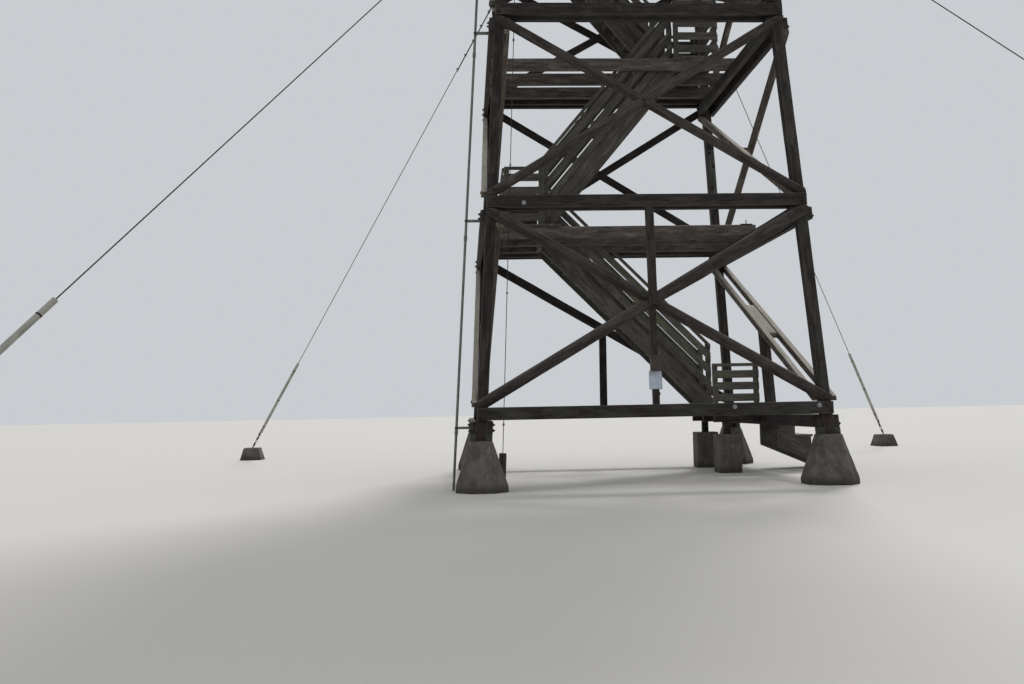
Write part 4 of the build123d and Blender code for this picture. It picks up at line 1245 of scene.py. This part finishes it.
def pipe_strap():
    """Half clamp round the pipe, bolted to its bracket on the right."""
    return joined([
        new_round(0.028, 0.030, 20, wear_mm=2),
        new_block((0.020, -0.010, -0.015), (0.062, 0.010, 0.015), 2),
        new_round(0.007, 0.050, 8, (0.046, 0, 0), (QUARTER_TURN, 0, 0)),
    ])


strap_places = []
for low, high in solids_of("pipe_brackets"):
    level = (low.z + high.z) / 2
    strap_places.append(Matrix.Translation(pipe_foot + pipe_along * (level / pipe_along.z)))
set_out(pipe_strap(), strap_places, "pipe_straps", "rust")


# Ground wire: clips, and a dark sleeve at its foot

WIRE_DIAMETER = 0.012
WIRE_CLIP_STEPS = (1.0, 3.1, 5.2, 7.3)
SLEEVE_MIDDLE = 0.34
wire_low, wire_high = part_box("ground_wire")
wire_foot = Vector((wire_low.x + WIRE_DIAMETER / 2, wire_low.y + WIRE_DIAMETER / 2, 0))
wire_head = Vector((wire_high.x - WIRE_DIAMETER / 2, wire_high.y - WIRE_DIAMETER / 2, wire_high.z))
wire_along = (wire_head - wire_foot).normalized()
sleeve_place = place_along(wire_foot, wire_along, SLEEVE_MIDDLE)
set_out(new_round(0.060, 0.42, 18, wear_mm=12, segments=3), [sleeve_place], "ground_wire_sleeve", "box")
wire_places = [place_along(wire_foot, wire_along, step) for step in WIRE_CLIP_STEPS]
wire_clip = new_block((-0.014, -0.014, -0.020), (0.014, 0.014, 0.020), 4)
set_out(wire_clip, wire_places, "ground_wire_clips", "galvanised")


# Notice sheet on its board, and the small box over it

SHEET_MARGIN = 4 * MM
SHEET_LIFT = 3.6 * MM          # of the sheet's back over the post
CURL = 3 * MM
sheet_low, sheet_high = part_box("notice_sheet")
sheet_place = face_place("front", 0, (sheet_low.z + sheet_high.z) / 2, MID_POST)
half_x = (sheet_high.x - sheet_low.x) / 2
half_y = (sheet_high.z - sheet_low.z) / 2
backing = new_block((-half_x, -half_y, 0), (half_x, half_y, 3 * MM), 1, 1)
backing.matrix_world = sheet_place
finish(smooth(backing), "notice_board", "box", ["notice_sheet"])


def curled_sheet():
    """Bare sheet in its sleeve, whose lower corners have lifted a little."""
    piece = new_sheet(2 * (half_x - SHEET_MARGIN), 2 * (half_y - SHEET_MARGIN), cuts=11)
    for vertex in piece.data.vertices:
        lift = max(0.0, abs(vertex.co.x) / half_x - vertex.co.y / half_y - 1.0)
        vertex.co.z = SHEET_LIFT + lift ** 2 * CURL
    add_modifier(piece, "SOLIDIFY", thickness=0.8 * MM, offset=1)
    return smooth(piece)


sheet = curled_sheet()
sheet.matrix_world = sheet_place
finish(sheet, "notice_paper_sheet", "paper")
tacks = [(side_x * (half_x - 0.012), side_y * (half_y - 0.014))
         for side_x in LEFT_AND_RIGHT for side_y in LEFT_AND_RIGHT]
set_out(new_round(4 * MM, 3 * MM, 10, wear_mm=1, segments=1),
        [sheet_place @ Matrix.Translation((x, y, 5 * MM)) for x, y in tacks], "notice_tacks", "galvanised")

box_piece = round_edges(copy_of("notice_box"), 6, 3)
box_low, box_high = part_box("notice_box")
half_wide = (box_high.x - box_low.x) / 2
half_tall = (box_high.z - box_low.z) / 2
LID_REACH = half_wide + 0.008
lid = new_block((-LID_REACH, half_tall - 0.035, 0.002), (LID_REACH, half_tall + 0.004, 0.118), 3)
hasp = new_block((-0.014, half_tall - 0.075, 0.108), (0.014, half_tall - 0.020, 0.120), 2)
for part in (lid, hasp):
    part.matrix_world = face_place("front", 0, (box_low.z + box_high.z) / 2, MID_POST)
finish(smooth(joined([box_piece, lid, hasp])), "notice_box_case", "box", ["notice_box"])


# Catwalk floor: boards from front to back, with the stair's opening

BOARD = 0.140
BOARD_GAP = 0.006
BOARD_STEP = BOARD + BOARD_GAP
HATCH_LENGTH = 1.560
HATCH_SIDES = (0.945, 1.655)
floor_low, floor_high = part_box("catwalk_floor")
board_count = int((floor_high.x - floor_low.x + BOARD_GAP) / BOARD_STEP)


def board_box(index):
    """Lowest and highest corner of one board of the catwalk."""
    left = floor_low.x + index * BOARD_STEP
    return Vector((left, floor_low.y, floor_low.z)), Vector((left + BOARD, floor_high.y, floor_high.z))


first_boards = in_a_row(new_block(*board_box(0)), board_count, (BOARD_STEP, 0, 0))
last_board = new_block(board_box(board_count)[0], floor_high)
walk_boards = joined([first_boards, last_board])
stair_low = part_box("flight_3_stringers")[0]
cut_away(walk_boards, new_block(
    (stair_low.x, HATCH_SIDES[0], floor_low.z - 0.1),
    (stair_low.x + HATCH_LENGTH, HATCH_SIDES[1], floor_high.z + 0.1),
))
walk_nails = deck_nails([board_box(index) for index in range(board_count)], solids_of("floor_joists"))
finish_wood(walk_boards, "catwalk_boards", "lumber", ["catwalk_floor"], wear_mm=3)
finish(copies(nail_head(), walk_nails), "catwalk_nails", "rust")


# Cab: lapped siding, trim, windows and door

LAP = 0.125
LAP_BUTT = 0.025
LAP_TOP = 0.006
LAP_GAP = 0.002
CORNER_BOARD = 0.095
TRIM = 0.030
CASING = 0.045
wall_low, wall_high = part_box("cab_wall_front")
HALF_CAB = wall_high.x
CAB_FLOOR = wall_low.z
CAB_TOP = wall_high.z
pane_low, pane_high = solids_of("window_glass")[0]
PANE_WIDTH = max(pane_high.x - pane_low.x, pane_high.y - pane_low.y)
PANE_HEIGHT = pane_high.z - pane_low.z
HALF_PANE = PANE_WIDTH / 2
door_low, door_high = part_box("cab_door")
DOOR_MIDDLE = (door_low.y + door_high.y) / 2
DOOR_HALF = 0.380
DOOR_REACH = DOOR_HALF + CASING
DOOR_TOP = door_high.z + 0.004


def pane_places():
    """Each window's face of the cab and the middle of its pane, as seen from the front."""
    places = []
    for low, high in solids_of("window_glass"):
        for face in FACE_TURNS:
            seen = turn_of(face).inverted() @ ((low + high) / 2)
            if seen.y < -HALF_CAB * 0.9:
                places.append((face, seen))
                break
    return places


PANES = pane_places()
for face in FACE_TURNS:
    dress_timber("cab_wall_" + face, "siding", 2, ALONG_X, 0, 0)


def siding(face):
    """Lapped boards on one wall, each thicker at its lower edge, cut round the openings."""
    reach = HALF_CAB - CORNER_BOARD
    first_top = CAB_FLOOR + LAP - LAP_GAP
    course = new_block((-reach, -HALF_CAB - LAP_BUTT, CAB_FLOOR), (reach, -HALF_CAB, first_top))
    shift(course, lambda place: place.y < -HALF_CAB - LAP_TOP and place.z > CAB_FLOOR + LAP / 2,
          (0, LAP_BUTT - LAP_TOP, 0))
    in_a_row(course, int((CAB_TOP - CAB_FLOOR) / LAP), (0, 0, LAP))
    openings = [
        (seen.x - HALF_PANE - CASING, seen.x + HALF_PANE + CASING,
         seen.z - PANE_HEIGHT / 2 - 0.03, seen.z + PANE_HEIGHT / 2 + 0.07)
        for name, seen in PANES if name == face
    ]
    if face == "right":
        openings.append(
            (DOOR_MIDDLE - DOOR_REACH, DOOR_MIDDLE + DOOR_REACH, CAB_FLOOR - 0.1, DOOR_TOP + 0.07))
    for left, right, bottom, top in openings:
        cut_away(course, new_block((left, -HALF_CAB - 0.1, bottom), (right, -HALF_CAB + 0.1, top)))
    course.matrix_world = turn_of(face)
    place_in_mesh(course)
    return course


for face in FACE_TURNS:
    finish_wood(siding(face), "cab_siding_" + face, "siding", wear_mm=1)

corner_boards = []
for side_x, side_y in ((-1, -1), (1, -1), (-1, 1), (1, 1)):
    x = side_x * HALF_CAB
    y = side_y * HALF_CAB
    for low, high in (
        ((x - side_x * CORNER_BOARD, y), (x + side_x * TRIM, y + side_y * TRIM)),
        ((x, y - side_y * CORNER_BOARD), (x + side_x * TRIM, y)),
    ):
        corner_boards.append(new_block(
            (min(low[0], high[0]), min(low[1], high[1]), CAB_FLOOR),
            (max(low[0], high[0]), max(low[1], high[1]), CAB_TOP)))
finish_wood(joined(corner_boards), "cab_corner_boards", "trim")


def window_sash():
    """Sash of nine lights about the pane's middle, made from one sheet."""
    sash = new_sheet(PANE_WIDTH - 4 * MM, PANE_HEIGHT - 4 * MM, rotation=(QUARTER_TURN, 0, 0))
    select_whole(sash)
    bpy.ops.mesh.select_mode(type="FACE")
    bpy.ops.mesh.inset(thickness=0.038)
    bpy.ops.mesh.subdivide(number_cuts=2)
    bpy.ops.mesh.inset(thickness=0.011, use_individual=True)
    bpy.ops.mesh.delete(type="FACE")
    to_objects()
    add_modifier(sash, "SOLIDIFY", thickness=0.034, offset=0)
    return round_edges(sash, 3, 1)


WALL_FACE = -0.055             # from a pane's middle out to the wall's face


def window_casing():
    """Boards round a window's opening, with a sloping sill and a drip board, seen from the front."""
    tall = PANE_HEIGHT / 2
    wide = HALF_PANE + CASING
    front = WALL_FACE - TRIM
    middles = [side * (HALF_PANE + CASING / 2) for side in LEFT_AND_RIGHT]
    sides = [new_block((middle - CASING / 2, front, -tall), (middle + CASING / 2, WALL_FACE, tall))
             for middle in middles]
    head = new_block((-wide, front, tall), (wide, WALL_FACE, tall + 0.062))
    drip = new_block((-wide, front - 0.018, tall + 0.052), (wide, front, tall + 0.068))
    sill = new_block((-wide, WALL_FACE - 0.050, -tall - 0.030), (wide, 0.02, -tall + 0.006))
    shift(sill, lambda place: place.y < WALL_FACE and place.z > -tall, (0, 0, -0.014))
    return joined([*sides, head, drip, sill])


window_places = [turn_of(face) @ Matrix.Translation(seen) for face, seen in PANES]
finish_wood(copies(window_sash(), window_places), "window_sashes", "trim", wear_mm=1)
finish_wood(copies(window_casing(), window_places), "window_casings", "trim")


def panelled_door():
    """Door leaf with two sunk panels on each side."""
    leaf = new_block(door_low, door_high)
    select_whole(leaf)
    lock_rail = (door_low.z + door_high.z) / 2 - 0.1
    bpy.ops.mesh.bisect(plane_co=(0, 0, lock_rail), plane_no=(0, 0, 1))
    select_in(leaf, "FACE", lambda face: abs(face.normal.x) > 0.9)
    bpy.ops.mesh.inset(thickness=0.095, depth=-0.012, use_individual=True)
    to_objects()
    return round_edges(leaf, 3)


finish_wood(panelled_door(), "cab_door_leaf", "trim", ["cab_door"], wear_mm=1)
jamb_middles = [DOOR_MIDDLE + side * (DOOR_HALF + CASING / 2) for side in LEFT_AND_RIGHT]
door_casing = [
    new_block((HALF_CAB, middle - CASING / 2, CAB_FLOOR), (HALF_CAB + TRIM, middle + CASING / 2, DOOR_TOP))
    for middle in jamb_middles
]
door_casing.append(new_block((HALF_CAB, DOOR_MIDDLE - DOOR_HALF - CASING, DOOR_TOP),
                             (HALF_CAB + TRIM, DOOR_MIDDLE + DOOR_HALF + CASING, DOOR_TOP + 0.065)))
door_casing.append(new_block((HALF_CAB - 0.11, DOOR_MIDDLE - DOOR_HALF, CAB_FLOOR),
                             (HALF_CAB - 0.06, DOOR_MIDDLE + DOOR_HALF, CAB_FLOOR + 0.018)))
finish_wood(joined(door_casing), "door_casing", "trim")


def door_knob():
    """Round knob on its rose, standing out along X from the door's face."""
    return joined([
        new_round(0.027, 0.006, 20, (0.003, 0, 0), (0, QUARTER_TURN, 0), 2),
        new_round(0.010, 0.030, 14, (0.018, 0, 0), (0, QUARTER_TURN, 0)),
        new_round(0.026, 0.030, 20, (0.044, 0, 0), (0, QUARTER_TURN, 0), 11, 4),
    ])


def door_hinge():
    """Barrel and leaf of a butt hinge on the door's edge."""
    return joined([
        new_round(0.008, 0.10, 12, wear_mm=1, segments=1),
        new_block((-0.003, 0.004, -0.045), (0.002, 0.034, 0.045), 1, 1),
    ])


KNOB_HEIGHT = 0.95
HINGE_HEIGHTS = (0.22, 1.02, 1.76)
knob_level = (door_high.y - 0.07, CAB_FLOOR + KNOB_HEIGHT)
knob_places = [
    Matrix.Translation((door_high.x, *knob_level)),
    Matrix.Translation((door_low.x, *knob_level)) @ Matrix.Rotation(math.pi, 4, "Z"),
]
hinge_places = [Matrix.Translation((door_high.x + 0.004, door_low.y + 0.004, CAB_FLOOR + level))
                for level in HINGE_HEIGHTS]
set_out(door_knob(), knob_places, "door_knobs", "rust")
set_out(door_hinge(), hinge_places, "door_hinges", "rust")

glass_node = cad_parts["window_glass"]
glass_node.data.materials.clear()
glass_node.data.materials.append(FINISHES["glass"][1])


# Eaves: soffit boards and a fascia

SOFFIT_BOARD = 0.0895
SOFFIT_STEP = SOFFIT_BOARD + 2 * MM
soffit_low, soffit_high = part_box("cab_ceiling")
soffit = new_block(soffit_low, (soffit_high.x, soffit_low.y + SOFFIT_BOARD, soffit_high.z), 4, 1)
in_a_row(soffit, int((soffit_high.y - soffit_low.y) / SOFFIT_STEP), (0, SOFFIT_STEP, 0))
finish_wood(soffit, "soffit_boards", "siding", ["cab_ceiling"], wear_mm=1)

ROOF_EDGE = 0.060
CAP_HALF = 0.110
roof_low, roof_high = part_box("roof")
EAVES = roof_high.x
EDGE_TOP = roof_low.z + ROOF_EDGE
fascia_boards = []
for face in FACE_TURNS:
    board = new_block((-EAVES - 0.02, -EAVES - 0.02, soffit_low.z - 0.02), (EAVES, -EAVES, EDGE_TOP - 0.004))
    board.matrix_world = turn_of(face)
    place_in_mesh(board)
    fascia_boards.append(board)
finish_wood(joined(fascia_boards), "fascia_boards", "trim", wear_mm=3)


# Roof: courses of split shingles over the shell, caps along the hips

SHINGLE_EXPOSURE = 0.140
SHINGLE_LENGTH = 0.200
SHINGLE_BUTT = 0.014
SHINGLE_TIP = 0.002
SHINGLE_WIDTHS = (0.08, 0.17)
SHINGLE_GAP = 4 * MM
SHINGLE_SHARES = (0.8, 1.25)   # of the usual thickness
COURSE_DROP = 0.02             # the first course stands this far past the eaves
COURSE_WOBBLE = 0.006
slope_run = EAVES - CAP_HALF
slope_rise = roof_high.z - EDGE_TOP
SLOPE = math.atan2(slope_rise, slope_run)
SLOPE_LENGTH = math.hypot(slope_run, slope_rise)


def slope_place(across, along, width):
    """Place on the front slope: X across, Y up the slope, with a share of the unit width."""
    foot = Vector((across, -EAVES + along * math.cos(SLOPE), EDGE_TOP + along * math.sin(SLOPE)))
    return Matrix.Translation(foot) @ Matrix.Rotation(SLOPE, 4, "X") @ Matrix.Diagonal((width, 1, 1, 1))


def shingle():
    """Wedge of split wood, one unit wide, thick at its lower end."""
    piece = new_block((0, 0, 0), (1, SHINGLE_LENGTH, SHINGLE_BUTT))
    shift(piece, lambda place: place.y > SHINGLE_LENGTH / 2 and place.z > 0,
          (0, 0, SHINGLE_TIP - SHINGLE_BUTT))
    return piece


def shingled_slope():
    """Courses of shingles of uneven widths on the front slope, cut off along both hips."""
    draw = random.Random("shingles")
    places = []
    for course in range(int(SLOPE_LENGTH / SHINGLE_EXPOSURE) + 1):
        along = course * SHINGLE_EXPOSURE - COURSE_DROP
        reach = EAVES - along * math.cos(SLOPE) + 0.05
        across = -reach - draw.uniform(0, 0.1)
        while across < reach:
            width = draw.uniform(*SHINGLE_WIDTHS)
            wobble = draw.uniform(-COURSE_WOBBLE, COURSE_WOBBLE)
            place = slope_place(across, along + wobble, width - SHINGLE_GAP)
            places.append(place @ Matrix.Diagonal((1, 1, draw.uniform(*SHINGLE_SHARES), 1)))
            across += width
    slope = copies(shingle(), places)
    for side in LEFT_AND_RIGHT:
        select_whole(slope)
        bpy.ops.mesh.bisect(plane_co=(0, 0, 0), plane_no=(side, 1, 0), clear_outer=True)
        bpy.ops.mesh.select_all(action="SELECT")
        bpy.ops.mesh.fill_holes(sides=0)
    to_objects()
    return slope


def finish_shingles(piece, name):
    piece.name = name
    write_grain(piece)
    finish(piece, name, "shingle")


finish_wood(copy_of("roof"), "roof_shell", "shingle", ["roof"])
finish_shingles(copies(shingled_slope(), [turn_of(face) for face in FACE_TURNS]), "roof_shingle_courses")


def hip_cap():
    """Two strips bent over the hip, whose lower end stands proud."""
    piece = new_sheet(0.20, 0.20, cuts=1)
    shift(piece, lambda place: abs(place.y) < 1 * MM, (0, 0, 0.030))
    shift(piece, lambda place: place.x < -0.05, (0, 0, 0.012))
    add_modifier(piece, "SOLIDIFY", thickness=0.012, offset=1)
    return piece


HIP_START = 0.09
hip_foot = Vector((EAVES, -EAVES, EDGE_TOP))
hip_head = Vector((CAP_HALF, -CAP_HALF, roof_high.z))
hip_along = (hip_head - hip_foot).normalized()
hip_level = UP.cross(hip_along).normalized()
hip_turn = Matrix((hip_along, hip_level, hip_along.cross(hip_level))).transposed().to_4x4()
hip_places = []
for face in FACE_TURNS:
    for index in range(int((hip_head - hip_foot).length / SHINGLE_EXPOSURE)):
        place = hip_foot + hip_along * (index * SHINGLE_EXPOSURE + HIP_START)
        hip_places.append(turn_of(face) @ Matrix.Translation(place) @ hip_turn)
finish_shingles(copies(hip_cap(), hip_places), "hip_caps")


def roof_vent():
    """Square metal cap: a neck, a flange at its foot and a low pyramid lid."""
    low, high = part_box("roof_cap")
    half = high.x

    def square(inset, bottom, top):
        return new_block((inset - half, inset - half, bottom), (half - inset, half - inset, top))

    neck = square(0.030, low.z, high.z - 0.040)
    flange = square(0, low.z, low.z + 0.015)
    lid = square(0, high.z - 0.050, high.z)
    select_in(lid, "VERT", lambda vertex: vertex.co.z > high.z - 0.01)
    bpy.ops.transform.resize(value=(0.2, 0.2, 1))
    to_objects()
    louvres = [square(0.022, low.z + level, low.z + level + 0.006) for level in (0.045, 0.070, 0.095)]
    return round_edges(joined([neck, flange, lid, *louvres]), 2)


finish(smooth(roof_vent()), "roof_vent", "galvanised", ["roof_cap"])


# Light and floor

BACKGROUND = colour("#c9cdd1")
FLOOR_COLOUR = colour("#c4c1bb")
FLOOR_SIZE = 260.0
SKY_COLOUR = colour("#f2f4f7")
SKY_STRENGTH = 0.8
SUN_STRENGTH = 2.0
SUN_TURN = (math.radians(-42), math.radians(18), 0)
SUN_WIDTH = math.radians(14)


def build_floor():
    """Plain pale floor that keeps the tower's shadow."""
    deselect_all()
    bpy.ops.mesh.primitive_plane_add(size=FLOOR_SIZE, location=(0, 0, 0))
    floor = bpy.context.object
    floor.name = "floor"
    material, tree, shader = new_material("pale_floor")
    shader.inputs["Base Color"].default_value = FLOOR_COLOUR
    shader.inputs["Roughness"].default_value = 0.95
    floor.data.materials.append(material)


def build_light():
    """Soft light from all round, and a soft sun from behind the tower's right side."""
    world = bpy.data.worlds.new("studio")
    bpy.context.scene.world = world
    world.use_nodes = True
    tree = world.node_tree
    rays = add(tree, "LightPath").node.outputs
    seen = add(tree, "Math", (rays["Is Camera Ray"], rays["Is Glossy Ray"]), operation="MAXIMUM")
    seen = add(tree, "Math", (seen, rays["Is Transmission Ray"]), operation="MAXIMUM")
    light = add(tree, "Background", {"Color": SKY_COLOUR, "Strength": SKY_STRENGTH})
    shown = add(tree, "Background", {"Color": BACKGROUND, "Strength": 1.0})
    mixed = add(tree, "MixShader", (seen, light, shown))
    tree.links.new(mixed, tree.nodes["World Output"].inputs["Surface"])
    deselect_all()
    bpy.ops.object.light_add(type="SUN", rotation=SUN_TURN)
    sun = bpy.context.object
    sun.data.energy = SUN_STRENGTH
    sun.data.angle = SUN_WIDTH


build_floor()
build_light()
bpy.context.scene.view_settings.view_transform = "Standard"
